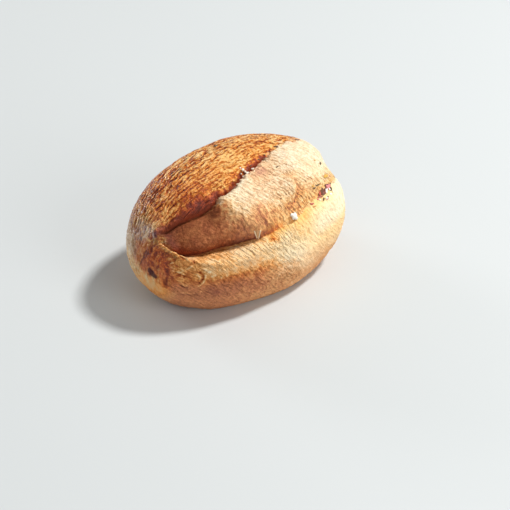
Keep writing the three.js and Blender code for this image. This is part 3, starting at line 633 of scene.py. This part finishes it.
# how strongly the pale skin is wrinkled
wrinkle = 1 - 0.80 * dish - 0.4 * band
wrinkle = wrinkle * (1 - 0.45 * tongue * ss(14, 26, X) * ss(44, 54, AL)) * (1 + 0.3 * tongue * ss(0, 10, X) - 0.15 * tongue * gauss(X, -8, 6)) * (1 + 0.7 * tongue * gauss(X, 9, 7) * gauss(AL, 37, 9))
wrinkle = wrinkle * (1 - 0.62 * front * ss(2, 14, X)) * (1 - 0.35 * ss(-16, -30, AL)) * (1 - 0.10 * front * ss(7, 12, S2) * ss(-8, -16, X))
for name, values in (("glaze", glaze), ("wrinkle", wrinkle), ("furrow", furrow), ("bake", bake), ("shade", shade), ("groove", groove), ("ridge", ridge),
                     ("crease_shade", crease_shade), ("rim_highlight", lip_highlight), ("warm", warm), ("spot_and_corner_shade", np.clip(spot_and_corner_shade, 0, 1)), ("ends", end), ("amber", amber), ("lit", np.clip(0.30 + 0.75 * streaks_light, 0, 1)), ("red", red),
                     ("golden", golden), ("glare", glare), ("lip_shade", np.clip(lip_shade, 0, 1)), ("foot", foot), ("olive", olive), ("sheen_paint", sheen_paint), ("cream", tongue * (1 - brown)), ("milky", np.clip(tongue * (1 - brown) * ss(38, 54, AL) * ss(-18, -8, X) + 0.6 * front * ss(20, 30, X) * ss(5, 15, AL), 0, 1)), ("tone", tone), ("gloss", gloss), ("dish", np.clip(brown + dish + 0.85 * band * (1 - ss(-14, -6, X)) + 0.4 * top * ss(-30, -40, X) * (1 - ss(96, 106, AL)), 0, 1)), ("strokes", np.clip(top * (0.34 - 0.10 * ss(-14, -4, X) + 0.72 * rough_zone) * (1 - 0.6 * band) * (1 - 0.4 * ss(112, 140, AL)) + streaks_light, 0, 1))):
    attribute(me, name, values)
# coordinates that run with the streaks, in mm: along, across, through
FU = np.where(top > 0.5, U, Q)
FV = np.where(top > 0.5, V + warp, R)

attribute(me, "flow", stack(FU, FV, 0 * FU), "FLOAT_VECTOR")


# ------------------------------------------------------------------ materials
def srgb(r, g, b):
    f = lambda c: c / 12.92 if c <= 0.04045 else ((c + 0.055) / 1.055) ** 2.4
    return (f(r / 255), f(g / 255), f(b / 255), 1.0)


class Nodes:
    def __init__(self, name):
        self.m = bpy.data.materials.new(name)
        self.m.use_nodes = True
        self.t = self.m.node_tree
        self.t.nodes.clear()
        self.out = self.t.nodes.new("ShaderNodeOutputMaterial")
        self.b = self.t.nodes.new("ShaderNodeBsdfPrincipled")
        self.t.links.new(self.b.outputs[0], self.out.inputs["Surface"])

    def put(self, socket, v):
        if isinstance(v, bpy.types.NodeSocket):
            self.t.links.new(v, socket)
        elif v is not None:
            socket.default_value = v

    def attr(self, name, vector=False):
        n = self.t.nodes.new("ShaderNodeAttribute")
        n.attribute_name = name
        return n.outputs["Vector" if vector else "Fac"]

    def math(self, op, a, b=None, c=None, clamp=False):
        n = self.t.nodes.new("ShaderNodeMath")
        n.operation = op
        n.use_clamp = clamp
        for s, v in zip(n.inputs, (a, b, c)):
            self.put(s, v)
        return n.outputs[0]

    def vmul(self, v, k):
        n = self.t.nodes.new("ShaderNodeVectorMath")
        n.operation = "MULTIPLY"
        self.put(n.inputs[0], v)
        n.inputs[1].default_value = k
        return n.outputs[0]

    def noise(self, vec, scale, detail=3.0, rough=0.5, dist=0.0):
        n = self.t.nodes.new("ShaderNodeTexNoise")
        self.put(n.inputs["Vector"], vec)
        n.inputs["Scale"].default_value = scale
        n.inputs["Detail"].default_value = detail
        n.inputs["Roughness"].default_value = rough
        n.inputs["Distortion"].default_value = dist
        return n.outputs["Fac"]

    def step(self, v, lo, hi):
        n = self.t.nodes.new("ShaderNodeMapRange")
        n.interpolation_type = "SMOOTHSTEP"
        self.put(n.inputs["Value"], v)
        n.inputs["From Min"].default_value = lo
        n.inputs["From Max"].default_value = hi
        return n.outputs["Result"]

    def crisp(self, v, mid, half):
        return self.step(v, mid - half, mid + half)

    def ramp(self, fac, stops, interp="LINEAR"):
        n = self.t.nodes.new("ShaderNodeValToRGB")
        n.color_ramp.interpolation = interp
        e = n.color_ramp.elements
        while len(e) < len(stops):
            e.new(0.5)
        for el, (p, c) in zip(e, stops):
            el.position = p
            el.color = c if len(c) == 4 else (*c, 1.0)
        self.put(n.inputs[0], fac)
        return n.outputs[0]

    def mix(self, fac, a, b, blend="MIX"):
        n = self.t.nodes.new("ShaderNodeMix")
        n.data_type = "RGBA"
        n.blend_type = blend
        n.clamp_factor = True
        self.put(n.inputs[0], fac)
        self.put(n.inputs[6], a)
        self.put(n.inputs[7], b)
        return n.outputs[2]

    def shade(self, col, dark, power):
        """Darken a colour by `dark` (lighten it where that is below zero), more in blue than in red."""
        c = self.t.nodes.new("ShaderNodeCombineColor")
        f = self.math("SUBTRACT", 1.0, dark)
        low = self.math("MINIMUM", self.math("MAXIMUM", f, 0.2), 1.0)
        high = self.math("MINIMUM", self.math("MAXIMUM", f, 1.0), 1.5)
        for socket, p, q in zip(c.inputs, power, (0.62, 0.68, 0.78)):
            self.put(socket, self.math("MULTIPLY", self.math("POWER", low, p * 1.6), self.math("POWER", high, q * 1.6)))
        lit = self.mix(1.0, col, c.outputs[0], "MULTIPLY")
        parts = self.t.nodes.new("ShaderNodeSeparateColor")
        self.put(parts.inputs[0], lit)
        back = self.math("MINIMUM", 1.0, self.math("DIVIDE", 0.96, self.math("MAXIMUM", parts.outputs[0], 0.01)))
        even = self.t.nodes.new("ShaderNodeCombineColor")
        for socket in even.inputs:
            self.put(socket, back)
        capped = self.mix(1.0, lit, even.outputs[0], "MULTIPLY")
        past = self.math("MINIMUM", self.math("MULTIPLY", self.math("SUBTRACT", 1.0, back), 0.5), 0.25)
        return self.mix(past, capped, (0.975, 0.83, 0.60, 1.0))

    def blend(self, fac, a, b):
        n = self.t.nodes.new("ShaderNodeMix")
        n.data_type = "FLOAT"
        self.put(n.inputs[0], fac)
        self.put(n.inputs[2], a)
        self.put(n.inputs[3], b)
        return n.outputs[0]

    def coords(self):
        n = self.t.nodes.new("ShaderNodeTexCoord")
        return n.outputs["Object"]

    def bump(self, height, strength, distance, normal=None):
        n = self.t.nodes.new("ShaderNodeBump")
        n.inputs["Strength"].default_value = strength
        n.inputs["Distance"].default_value = distance
        self.put(n.inputs["Height"], height)
        if normal is not None:
            self.put(n.inputs["Normal"], normal)
        return n.outputs[0]


def crust_material():
    k = Nodes("crust")
    oc = k.coords()
    flow = k.attr("flow", True)
    glaze, bake, shade, groove, ridge, wrinkle, ends = (k.attr(n) for n in ("glaze", "bake", "shade", "groove", "ridge", "wrinkle", "ends"))

    def around(v, amount):
        return k.math("MULTIPLY", k.math("SUBTRACT", v, 0.5), amount)

    # fine streaks along the flow, and grain, both with hard edges
    along_flow = k.noise(k.vmul(flow, (0.30, 1.0, 1.0)), 0.95, 3.0, 0.6)
    down_end = k.noise(k.vmul(oc, (1.0, 1.0, 0.35)), 850.0, 3.0, 0.6)
    streak = k.crisp(k.blend(ends, along_flow, down_end), 0.50, 0.14)
    grain = k.crisp(k.noise(oc, 850.0, 3.0, 0.6), 0.50, 0.15)
    speck = k.noise(oc, 2000.0, 2.0, 0.6)
    blot = k.noise(oc, 210.0, 4.0, 0.5)
    patch = k.noise(oc, 420.0, 3.0, 0.6)
    # thin dark furrows, broken up
    wander = k.math("ADD", k.attr("furrow"), around(patch, 1.3))
    crack = k.step(k.math("PINGPONG", wander, 0.5), 0.25, 0.45)
    broken = k.step(k.noise(k.vmul(flow, (0.25, 0.55, 1.0)), 1.0, 2.0, 0.5), 0.41, 0.52)
    crack = k.math("MULTIPLY", k.math("MULTIPLY", crack, broken), k.math("SUBTRACT", 1.0, ends))
    # long light strokes with the flow
    stroke = k.crisp(k.noise(k.vmul(flow, (0.2, 1.0, 1.0)), 0.95, 1.5, 0.5), 0.54, 0.06)
    stroke = k.math("MULTIPLY", k.math("MULTIPLY", stroke, k.attr("strokes")), k.math("SUBTRACT", 1.0, ends))
    end_stroke = k.crisp(k.noise(k.vmul(oc, (1.0, 1.0, 0.3)), 900.0, 1.0, 0.5), 0.53, 0.05)
    gaps = k.crisp(k.noise(k.vmul(flow, (0.22, 1.0, 1.0)), 0.85, 2.5, 0.55), 0.44, 0.06)
    gaps = k.math("MULTIPLY", k.math("MULTIPLY", k.math("SUBTRACT", 1.0, gaps), k.attr("strokes")), k.math("SUBTRACT", 1.0, ends))
    pores = k.math("MULTIPLY", k.crisp(k.noise(oc, 820.0, 1.5, 0.5), 0.55, 0.05), k.attr("dish"))
    # pale and browned dough: the colour drifts slowly, the fine texture darkens or lightens it
    bk = k.math("ADD", bake, around(blot, 0.30))
    bk = k.math("ADD", bk, k.math("MULTIPLY", around(patch, 0.30), wrinkle))
    bk = k.math("ADD", bk, k.math("MULTIPLY", k.math("ADD", around(streak, 0.10), around(grain, 0.08)), wrinkle))
    pale = k.ramp(bk, [(0.0, srgb(238, 219, 184)), (0.2, srgb(230, 191, 142)), (0.4, srgb(216, 158, 96)),
                       (0.6, srgb(189, 114, 62)), (0.8, srgb(150, 78, 42)), (1.0, srgb(106, 48, 27))])
    pale = k.mix(k.math("MULTIPLY", k.attr("warm"), 0.86), pale, k.mix(1.0, pale, srgb(255, 227, 150), "MULTIPLY"))
    tex = k.math("ADD", k.math("MULTIPLY", crack, 0.20), k.math("ADD", around(streak, 0.24), around(grain, 0.28)))
    tex = k.math("ADD", tex, around(speck, 0.5))
    # darker in furrows, paler on crests: own colour plus painted shade and painted highlight
    tex = k.math("ADD", tex, k.math("SUBTRACT", k.math("MULTIPLY", groove, 0.10), k.math("MULTIPLY", ridge, 0.07)))
    strand = k.step(k.math("PINGPONG", wander, 0.5), 0.22, 0.06)
    strand = k.math("MULTIPLY", k.math("MULTIPLY", strand, k.math("SUBTRACT", 1.0, broken)), k.attr("lit"))
    tex = k.math("SUBTRACT", tex, k.math("MULTIPLY", strand, 0.26))
    tex = k.math("ADD", k.math("MULTIPLY", tex, wrinkle), -0.08)
    tex = k.math("ADD", tex, k.attr("tone"))
    tex = k.math("SUBTRACT", tex, k.math("ADD", k.math("SUBTRACT", k.math("MULTIPLY", stroke, 0.20), k.math("MULTIPLY", gaps, 0.10)), k.math("MULTIPLY", pores, 0.34)))
    tex = k.math("ADD", tex, k.math("MULTIPLY", k.attr("dish"), k.math("ADD", around(grain, 0.12), 0.02)))
    pale = k.mix(k.attr("golden"), pale, k.mix(1.0, pale, srgb(255, 231, 196), "MULTIPLY"))
    pale = k.mix(k.math("MULTIPLY", k.attr("foot"), 0.32), pale, srgb(206, 150, 116))
    pale = k.mix(k.math("MULTIPLY", k.attr("milky"), 0.15), pale, srgb(255, 241, 224))
    pale = k.shade(pale, tex, (0.64, 0.86, 1.10))
    # egg glaze
    sh = k.math("ADD", shade, around(blot, 0.40))
    det = k.math("ADD", around(streak, 0.22), around(grain, 0.26))
    # glaze detail: darker in furrows, paler on crests, partly painted shade and painted highlight
    for v in (around(speck, 0.5), around(patch, 0.35), k.math("MULTIPLY", crack, 0.16), k.math("MULTIPLY", gaps, 0.38), k.math("MULTIPLY", groove, 0.30), k.math("MULTIPLY", ridge, -0.22)):
        det = k.math("ADD", det, v)
    sh = k.math("ADD", sh, k.math("MULTIPLY", det, wrinkle))
    sh = k.math("ADD", k.math("SUBTRACT", sh, k.math("MULTIPLY", stroke, 0.38)), k.attr("tone"))
    gold = k.ramp(sh, [(0.0, srgb(250, 216, 158)), (0.22, srgb(230, 168, 90)), (0.42, srgb(200, 116, 42)),
                       (0.62, srgb(160, 74, 26)), (0.82, srgb(118, 46, 17)), (1.0, srgb(78, 27, 12))])
    gold = k.shade(gold, k.math("ADD", around(speck, 0.5), k.math("ADD", k.math("ADD", k.math("MULTIPLY", crack, 0.12), k.math("SUBTRACT", k.math("MULTIPLY", gaps, 0.22), k.math("MULTIPLY", stroke, 0.08))), around(grain, 0.16))), (0.7, 0.9, 1.1))
    gold = k.mix(k.attr("amber"), gold, k.mix(1.0, gold, srgb(255, 232, 196), "MULTIPLY"))
    col = k.mix(glaze, pale, gold)
    col = k.mix(k.math("MULTIPLY", k.attr("cream"), 0.10), col, srgb(250, 222, 200))
    col = k.mix(k.attr("red"), col, k.mix(1.0, col, srgb(246, 212, 204), "MULTIPLY"))
    col = k.mix(k.math("MULTIPLY", k.attr("red"), 0.14), col, srgb(192, 130, 114))
    col = k.mix(k.attr("olive"), col, k.mix(1.0, col, srgb(226, 238, 255), "MULTIPLY"))
    # painted shade under the lip
    col = k.mix(k.math("MULTIPLY", k.attr("lip_shade"), 0.72), col, srgb(104, 62, 48))
    # painted sheen on the left end
    col = k.mix(k.math("MULTIPLY", k.attr("sheen_paint"), 0.5), col, srgb(166, 142, 132))
    # painted crease shade along the clefts
    col = k.mix(k.math("MULTIPLY", k.attr("crease_shade"), 0.72), col, srgb(142, 60, 32))
    # pale lip edge, partly painted highlight
    col = k.mix(k.math("MULTIPLY", k.attr("rim_highlight"), 0.75), col, srgb(236, 194, 146))
    # burnt spots, and painted shade in the upper cleft's left corner
    col = k.mix(k.math("MULTIPLY", k.attr("spot_and_corner_shade"), 0.90), col, srgb(62, 26, 40))
    # painted reflection: the glare streaks mixed towards pale grey
    shine = k.math("MULTIPLY", k.attr("glare"), k.math("ADD", k.math("MULTIPLY", end_stroke, 0.52), 0.46))
    col = k.mix(shine, col, srgb(228, 208, 196))
    k.put(k.b.inputs["Base Color"], col)
    rough = k.math("ADD", k.math("MULTIPLY", glaze, -0.26), 0.62)
    rough = k.math("ADD", rough, around(patch, 0.35), clamp=True)
    k.put(k.b.inputs["Roughness"], rough)
    k.put(k.b.inputs["Coat Weight"], k.math("MULTIPLY", k.math("MULTIPLY", glaze, k.attr("gloss")), 0.9))
    k.b.inputs["Specular IOR Level"].default_value = 0.16
    k.b.inputs["Coat Roughness"].default_value = 0.16
    k.b.inputs["Coat IOR"].default_value = 1.5
    dent = k.math("ADD", k.math("MULTIPLY", streak, 0.28), k.math("MULTIPLY", grain, 0.26))
    dent = k.math("ADD", dent, k.math("MULTIPLY", crack, 0.26))
    dent = k.math("ADD", dent, k.math("SUBTRACT", k.math("MULTIPLY", gaps, 0.35), k.math("MULTIPLY", stroke, 0.40)))
    hgt = k.math("SUBTRACT", k.math("MULTIPLY", speck, 0.35), k.math("MULTIPLY", dent, wrinkle))
    nrm = k.bump(hgt, 1.0, 0.0009)
    k.put(k.b.inputs["Normal"], nrm)
    k.put(k.b.inputs["Coat Normal"], k.bump(hgt, 1.0, 0.0005))
    return k.m


me.materials.append(crust_material())
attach(bread, "root")
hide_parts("bread")

# ------------------------------------------------------------------ small things on the skin
rng = np.random.RandomState(7)
BN = vertex_normals(body, QUADS, TRIS)


def on_skin(x, al):
    """The finished skin nearest to a place on the chart: its point and its outward normal."""
    i = int(np.argmin((X - x) ** 2 + (np.radians(AL - al) * 33.0) ** 2))
    return body[i], BN[i]


def basis(n, turn):
    t = np.cross(n, [0.3, 0.2, 0.93])
    t /= np.linalg.norm(t)
    b = np.cross(n, t)
    c, s_ = math.cos(turn), math.sin(turn)
    return t * c + b * s_, b * c - t * s_, n


def ball(level):
    bm = bmesh.new()
    bmesh.ops.create_icosphere(bm, subdivisions=level, radius=1.0)
    v = np.array([p.co[:] for p in bm.verts])
    f = [[p.index for p in q.verts] for q in bm.faces]
    bm.free()
    return v, f


class Pile:
    """Many small shapes of one kind, gathered into one mesh."""

    def __init__(self):
        self.v, self.f, self.tone, self.n = [], [], [], 0

    def add(self, v, f, tone):
        self.v.append(v)
        self.f += [[i + self.n for i in q] for q in f]
        self.tone.append(np.full(len(v), tone))
        self.n += len(v)

    def crumb(self, p, n, size, tone=0.5, sink=0.25, level=2):
        v, f = ball(level)
        r = 1 + 0.30 * n1(v * 1.3 + rng.uniform(0, 50, 3)) + 0.16 * n2(v * 2.9 + rng.uniform(0, 50, 3))
        a, b, c = basis(n, rng.uniform(0, 6.3))
        w = v * r[:, None] * np.array(size) * 0.5
        self.add(p + w[:, :1] * a + w[:, 1:2] * b + (w[:, 2:] + size[2] * (0.5 - sink)) * c, f, tone)

    def flake(self, p, n, length, width, thick, tone, turn=None, curl=0.15, lift=0.05):
        m = 11
        th = np.arange(m) / m * 2 * np.pi
        r = 1 + 0.28 * rng.uniform(-1, 1, m)
        ring = stack(np.cos(th) * r * length / 2, np.sin(th) * r * width / 2)
        rows = []
        for k, (q, z) in enumerate(((0.0, 1.0), (0.62, 1.0), (1.0, 0.55), (1.0, -0.3), (0.0, -0.3))):
            pts = ring * q
            bend = curl * (pts[:, 0] ** 2) / max(length, 1e-3)
            if q == 0.0:
                rows.append(np.array([[0, 0, z * thick]]))
            else:
                rows.append(stack(pts[:, 0], pts[:, 1], bend + z * thick))
        v = np.concatenate(rows)
        f, s1_, s2_, s3_, last = [], 1, 1 + m, 1 + 2 * m, 1 + 3 * m
        for i in range(m):
            j = (i + 1) % m
            f += [[0, s1_ + i, s1_ + j], [s1_ + i, s2_ + i, s2_ + j, s1_ + j], [s2_ + i, s3_ + i, s3_ + j, s2_ + j], [last, s3_ + j, s3_ + i]]
        a, b, c = basis(n, rng.uniform(0, 6.3) if turn is None else turn)
        self.add(p + v[:, :1] * a + v[:, 1:2] * b + (v[:, 2:] + lift) * c, f, tone)

    def shard(self, p, along, out, n, length, width, thick, tone, tip_shift=0.0, droop=0.0):
        """A torn point of skin: a triangle with its base on the edge and its tip at `out`."""
        v, f, rows = [], [], 6
        for side in (1, -1):
            for i in range(rows):
                t = i / (rows - 1)
                w = width * (1 - t) ** 0.8 / 2 + 0.04
                for u in (-1, 0, 1):
                    z = side * thick * (1 - 0.6 * t) * (0.5 if u else 0.62) - droop * t * t * length
                    v.append(p + along * (u * w + tip_shift * t) + out * (t * length - 0.5) + n * z)
        q = rows * 3
        for i in range(rows - 1):
            for u in (0, 1):
                a = i * 3 + u
                f.append([a, a + 1, a + 4, a + 3])
                f.append([q + a, q + a + 3, q + a + 4, q + a + 1])
            f.append([i * 3, i * 3 + 3, q + i * 3 + 3, q + i * 3])
            f.append([i * 3 + 2, q + i * 3 + 2, q + i * 3 + 5, i * 3 + 5])
        e = (rows - 1) * 3
        f += [[0, q, q + 1, 1], [1, q + 1, q + 2, 2], [e, e + 1, q + e + 1, q + e], [e + 1, e + 2, q + e + 2, q + e + 1]]
        self.add(np.array(v), f, tone)

    def build(self, name, material, smooth=True):
        co = np.concatenate(self.v) * scale + np.array(centre)
        me = bpy.data.meshes.new(name)
        me.from_pydata(co.tolist(), [], self.f)
        bm = bmesh.new()
        bm.from_mesh(me)
        bmesh.ops.recalc_face_normals(bm, faces=bm.faces[:])
        bm.to_mesh(me)
        bm.free()
        attribute(me, "tone", np.concatenate(self.tone))
        me.polygons.foreach_set("use_smooth", np.full(len(me.polygons), smooth))
        me.materials.append(material)
        ob = bpy.data.objects.new(name, me)
        bpy.context.scene.collection.objects.link(ob)
        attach(ob, "root")
        return ob


def simple_material(name, stops, rough, bump, speck=0.3, sheen=None):
    k = Nodes(name)
    oc = k.coords()
    n = k.noise(oc, 1600.0, 3.0, 0.6)
    t = k.math("ADD", k.attr("tone"), k.math("MULTIPLY", k.math("SUBTRACT", n, 0.5), speck))
    k.put(k.b.inputs["Base Color"], k.ramp(t, stops))
    k.b.inputs["Roughness"].default_value = rough
    k.put(k.b.inputs["Normal"], k.bump(n, bump, 0.0003))
    return k.m


# fresh white cheese that shows in the clefts
cheese = Pile()
spots = [(-2.9, 75.4, 1.9), (-2.1, 74.2, 1.5), (-1.2, 73.0, 2.5), (-0.3, 72.2, 1.9), (-3.9, 71.8, 1.3), (-1.9, 70.8, 1.6), (1.0, 72.6, 1.2),
         (0.5, 71.0, 1.2), (-3.6, 76.8, 1.0), (-4.5, 73.4, 0.9)]
for x, al, d in spots:
    p, n = on_skin(x, al - 1.0)
    d *= 0.74
    cheese.crumb(p + n * 0.35 * d, n, (d * 1.1, d * 0.85, d * 0.75), rng.uniform(0.7, 1.0))
for x, al, d in [(6.7, 29.2, 3.1), (7.6, 27.8, 2.0), (5.8, 30.8, 1.7), (7.6, 30.6, 1.2), (6.4, 27.4, 1.3)]:
    p, n = on_skin(x, al)
    cheese.crumb(p + n * 0.3, n, (d, d * 0.8, d * 0.75), 0.85)
for x, al, d in [(30.4, 34.4, 1.7), (29.6, 33.2, 1.2), (32.4, 33.8, 1.2), (32.0, 30.0, 1.2), (28.0, 29.4, 1.1), (24.0, 30.2, 1.0), (30.0, 36.0, 1.0), (34.6, 31.0, 1.1)]:
    p, n = on_skin(x, al)
    cheese.crumb(p, n, (d * 1.3, d * 0.8, d * 0.6), rng.uniform(0.7, 1.0))
cheese_m = simple_material("cheese", [(0.0, srgb(216, 190, 148)), (0.5, srgb(236, 222, 196)), (1.0, srgb(250, 246, 238))], 0.55, 0.6)
cheese.build("cheese_crumbs", cheese_m)

# dried herb and pepper flakes
herbs = Pile()
tones = (0.10, 0.22, 0.34, 0.42, 0.62, 0.70, 0.95)
for _ in range(6):
    x, al = rng.normal(27.5, 3.2), rng.normal(32.5, 3.0)
    p, n = on_skin(x, al)
    herbs.flake(p, n, rng.uniform(0.6, 1.2), rng.uniform(0.4, 0.7), rng.uniform(0.10, 0.2), tones[rng.randint(len(tones))], lift=rng.uniform(0.05, 0.3))
# place on the skin, length, width, colour, turn, height above the skin
for x, al, l, w, tone, turn, up in [
        (32.4, 36.5, 5.3, 2.4, 0.62, 0.2, 0.30), (29.6, 35.5, 3.9, 1.0, 0.26, 0.5, 0.22), (32.8, 38.3, 2.8, 1.0, 0.06, 0.0, 0.15), (33.8, 32.9, 2.8, 1.4, 0.10, 0.3, 0.25),
        (27.4, 35.3, 3.0, 1.6, 0.20, 0.9, 0.25), (27.6, 33.1, 2.8, 1.7, 0.28, 0.4, 0.28), (25.6, 34.5, 3.4, 1.8, 0.42, 0.2, 0.22), (24.4, 32.1, 3.0, 1.4, 0.34, 0.0, 0.20),
        (22.4, 31.5, 1.3, 0.8, 0.60, 0.4, 0.12), (28.8, 29.7, 2.3, 0.7, 0.08, 0.2, 0.15), (25.8, 29.5, 2.1, 1.0, 0.08, 0.5, 0.15), (28.4, 28.5, 1.6, 0.7, 0.60, 0.5, 0.12),
        (25.2, 39.3, 3.9, 0.8, 0.86, 0.1, 0.12), (23.2, 40.1, 1.8, 0.7, 0.12, 0.3, 0.10), (34.4, 45.0, 3.4, 1.5, 0.94, 0.1, 0.12), (37.4, 44.6, 1.0, 0.5, 0.55, 0.0, 0.15),
        (35.6, 57.6, 1.4, 1.0, 0.12, 0.6, 0.10), (33.6, 61.2, 1.2, 0.6, 0.88, 0.0, 0.06), (18.6, 30.2, 1.8, 0.9, 0.40, 0.3, 0.05), (19.2, 28.4, 2.0, 0.6, 0.84, 0.3, 0.05),
        (11.7, 65.0, 1.5, 0.7, 0.14, 0.4, 0.06), (20.5, 84.4, 2.2, 1.1, 0.20, 0.0, 0.08), (34.7, 88.6, 1.9, 1.1, 0.20, 0.0, 0.08), (22.6, 42.1, 1.3, 0.6, 0.95, 0.0, 0.08),
        (11.7, 79.6, 1.0, 0.5, 0.10, 0.0, 0.08), (-0.2, 71.6, 1.0, 0.6, 0.10, 0.0, 0.30), (-2.7, 72.6, 1.2, 0.6, 0.26, 0.0, 0.30), (1.9, 75.6, 1.1, 0.5, 0.06, 0.0, 0.10),
        (7.6, 78.0, 0.9, 0.5, 0.08, 0.0, 0.08), (-14.1, 116.8, 1.1, 0.7, 0.04, 0.0, 0.08), (0.6, 113.5, 1.8, 1.0, 0.04, 0.0, 0.25), (3.5, 43.0, 0.8, 0.4, 0.15, 0.0, 0.06),
        (25.4, 40.9, 3.6, 0.6, 0.13, 0.1, 0.10)]:
    p, n = on_skin(x, al)
    herbs.flake(p, n, l, w, 0.16, tone, turn=turn, lift=up)
herb_m = simple_material("herbs", [(0.0, srgb(66, 46, 28)), (0.12, srgb(98, 76, 42)), (0.26, srgb(104, 46, 30)), (0.42, srgb(186, 84, 60)), (0.62, srgb(206, 124, 122)),
                                   (0.80, srgb(196, 130, 70)), (1.0, srgb(214, 172, 66))], 0.5, 0.4, 0.08)
herbs.build("herb_flakes", herb_m)

# torn points of pale skin along the upper cleft, and the loose one over the lower cleft
torn = Pile()
x = -22.6
while x < 13.0:
    step = rng.uniform(0.9, 2.1)
    a = float(upper_angle(np.array([x]))[0])
    b = float(upper_angle(np.array([x + 0.6]))[0])
    p, n = on_skin(x, a - 1.6)
    q, _ = on_skin(x + 2.2, float(upper_angle(np.array([x + 2.2]))[0]) - 1.6)
    al_dir = (q - p) / max(np.linalg.norm(q - p), 1e-6)
    out_dir = np.cross(al_dir, n)
    if out_dir @ (on_skin(x, a + 4)[0] - p) < 0:
        out_dir = -out_dir
    big = rng.uniform(0.35, 1.0) * (1.0 if x < 2 else 0.5)
    out_dir = out_dir + 0.35 * n
    out_dir /= np.linalg.norm(out_dir)
    torn.shard(p - n * 0.25, al_dir, out_dir, n, 1.9 * big + 0.5, step * 0.85, 0.28, rng.uniform(0.6, 1.0), tip_shift=rng.uniform(-0.4, 0.4), droop=0.1)
    x += step
p, n = on_skin(-11.3, 29.6)
q, _ = on_skin(-10.7, 25.0)
down = (q - p) / np.linalg.norm(q - p)
side = np.cross(n, down)
side /= np.linalg.norm(side)
out = down * 0.95 + n * 0.30
torn.shard(p + n * 0.1, side, out / np.linalg.norm(out), n, 4.8, 2.7, 0.16, 0.12, tip_shift=0.3, droop=-0.02)
for w in (-1.0, 1.0):
    torn.shard(p + n * 0.22 + side * w * 1.2, side, (down * 0.95 + n * 0.30 - side * w * 0.24) / 1.03, n, 4.7, 0.5, 0.2, 0.78)
torn_m = simple_material("torn_skin", [(0.0, srgb(196, 136, 84)), (0.5, srgb(230, 196, 148)), (1.0, srgb(246, 230, 200))], 0.6, 0.6)
torn.build("torn_skin", torn_m)

# ------------------------------------------------------------------ stage: floor, light, camera
def plain_material(name, col, rough):
    k = Nodes(name)
    oc = k.coords()
    n = k.noise(oc, 3.0, 2.0)
    k.put(k.b.inputs["Base Color"], k.mix(n, col, tuple(c * 0.985 for c in col[:3]) + (1.0,)))
    k.b.inputs["Roughness"].default_value = rough
    return k.m


fl = bpy.data.meshes.new("floor")
s = 3.0
fl.from_pydata([(-s, -s, 0), (s, -s, 0), (s, s, 0), (-s, s, 0)], [], [(0, 1, 2, 3)])
floor = bpy.data.objects.new("floor", fl)
bpy.context.scene.collection.objects.link(floor)
fl.materials.append(plain_material("floor_pale", (0.583, 0.615, 0.630, 1.0), 0.6))

AZ, EL, ROLL, FOV = math.radians(-37.8), math.radians(36.0), math.radians(-1.0), math.radians(20.0)
DIST = (510.0 / (505.0 / 231.0)) / 2 / math.tan(FOV / 2) * 0.001
back = Vector((math.sin(AZ) * math.cos(EL), -math.cos(AZ) * math.cos(EL), math.sin(EL)))
right = Vector((math.cos(AZ), math.sin(AZ), 0))
upv = back.cross(right)
away = Vector((-math.sin(AZ), math.cos(AZ), 0))
target = centre + right * 0.0081 + away * 0.0062
r2 = right * math.cos(ROLL) + upv * math.sin(ROLL)
u2 = upv * math.cos(ROLL) - right * math.sin(ROLL)
cd = bpy.data.cameras.new("camera")
cd.sensor_width = 36.0
cd.angle = FOV
cd.clip_start, cd.clip_end = 0.01, 20.0
cam = bpy.data.objects.new("camera", cd)
bpy.context.scene.collection.objects.link(cam)
mw = Matrix.Identity(4)
for i, v in enumerate((r2, u2, back)):
    for j in range(3):
        mw[j][i] = v[j]
mw.translation = target + back * DIST
cam.matrix_world = mw
bpy.context.scene.camera = cam


def area(name, direction, dist, size, power, colour=(1, 1, 1), aim=Vector((0, 0, 0.025))):
    ld = bpy.data.lights.new(name, "AREA")
    ld.shape = "DISK"
    ld.size = size
    ld.energy = power
    ld.color = colour
    ob = bpy.data.objects.new(name, ld)
    bpy.context.scene.collection.objects.link(ob)
    d = Vector(direction).normalized()
    ob.location = aim + d * dist
    ob.rotation_euler = d.to_track_quat("Z", "Y").to_euler()
    return ob


key_dir = right * 0.52 + away * 0.165 + Vector((0, 0, 0.84))
area("key", key_dir, 1.6, 0.24, 26.0, (1.0, 0.99, 0.965))
fill_dir = -right * 0.75 + away * 0.62 + Vector((0, 0, 0.19))
area("fill", fill_dir, 1.2, 0.5, 5.6, (1.0, 0.985, 0.97))
front_dir = right * 0.70 - away * 0.60 + Vector((0, 0, 0.40))
area("front_fill", front_dir, 1.3, 0.8, 6.5, (1.0, 0.99, 0.97))

world = bpy.data.worlds.new("world")
bpy.context.scene.world = world
world.use_nodes = True
bg = world.node_tree.nodes.get("Background") or world.node_tree.nodes.new("ShaderNodeBackground")
bg.inputs["Color"].default_value = (0.98, 0.97, 0.94, 1.0)
bg.inputs["Strength"].default_value = 0.32
bpy.context.scene.view_settings.view_transform = "Standard"
bpy.context.scene.view_settings.look = "None"
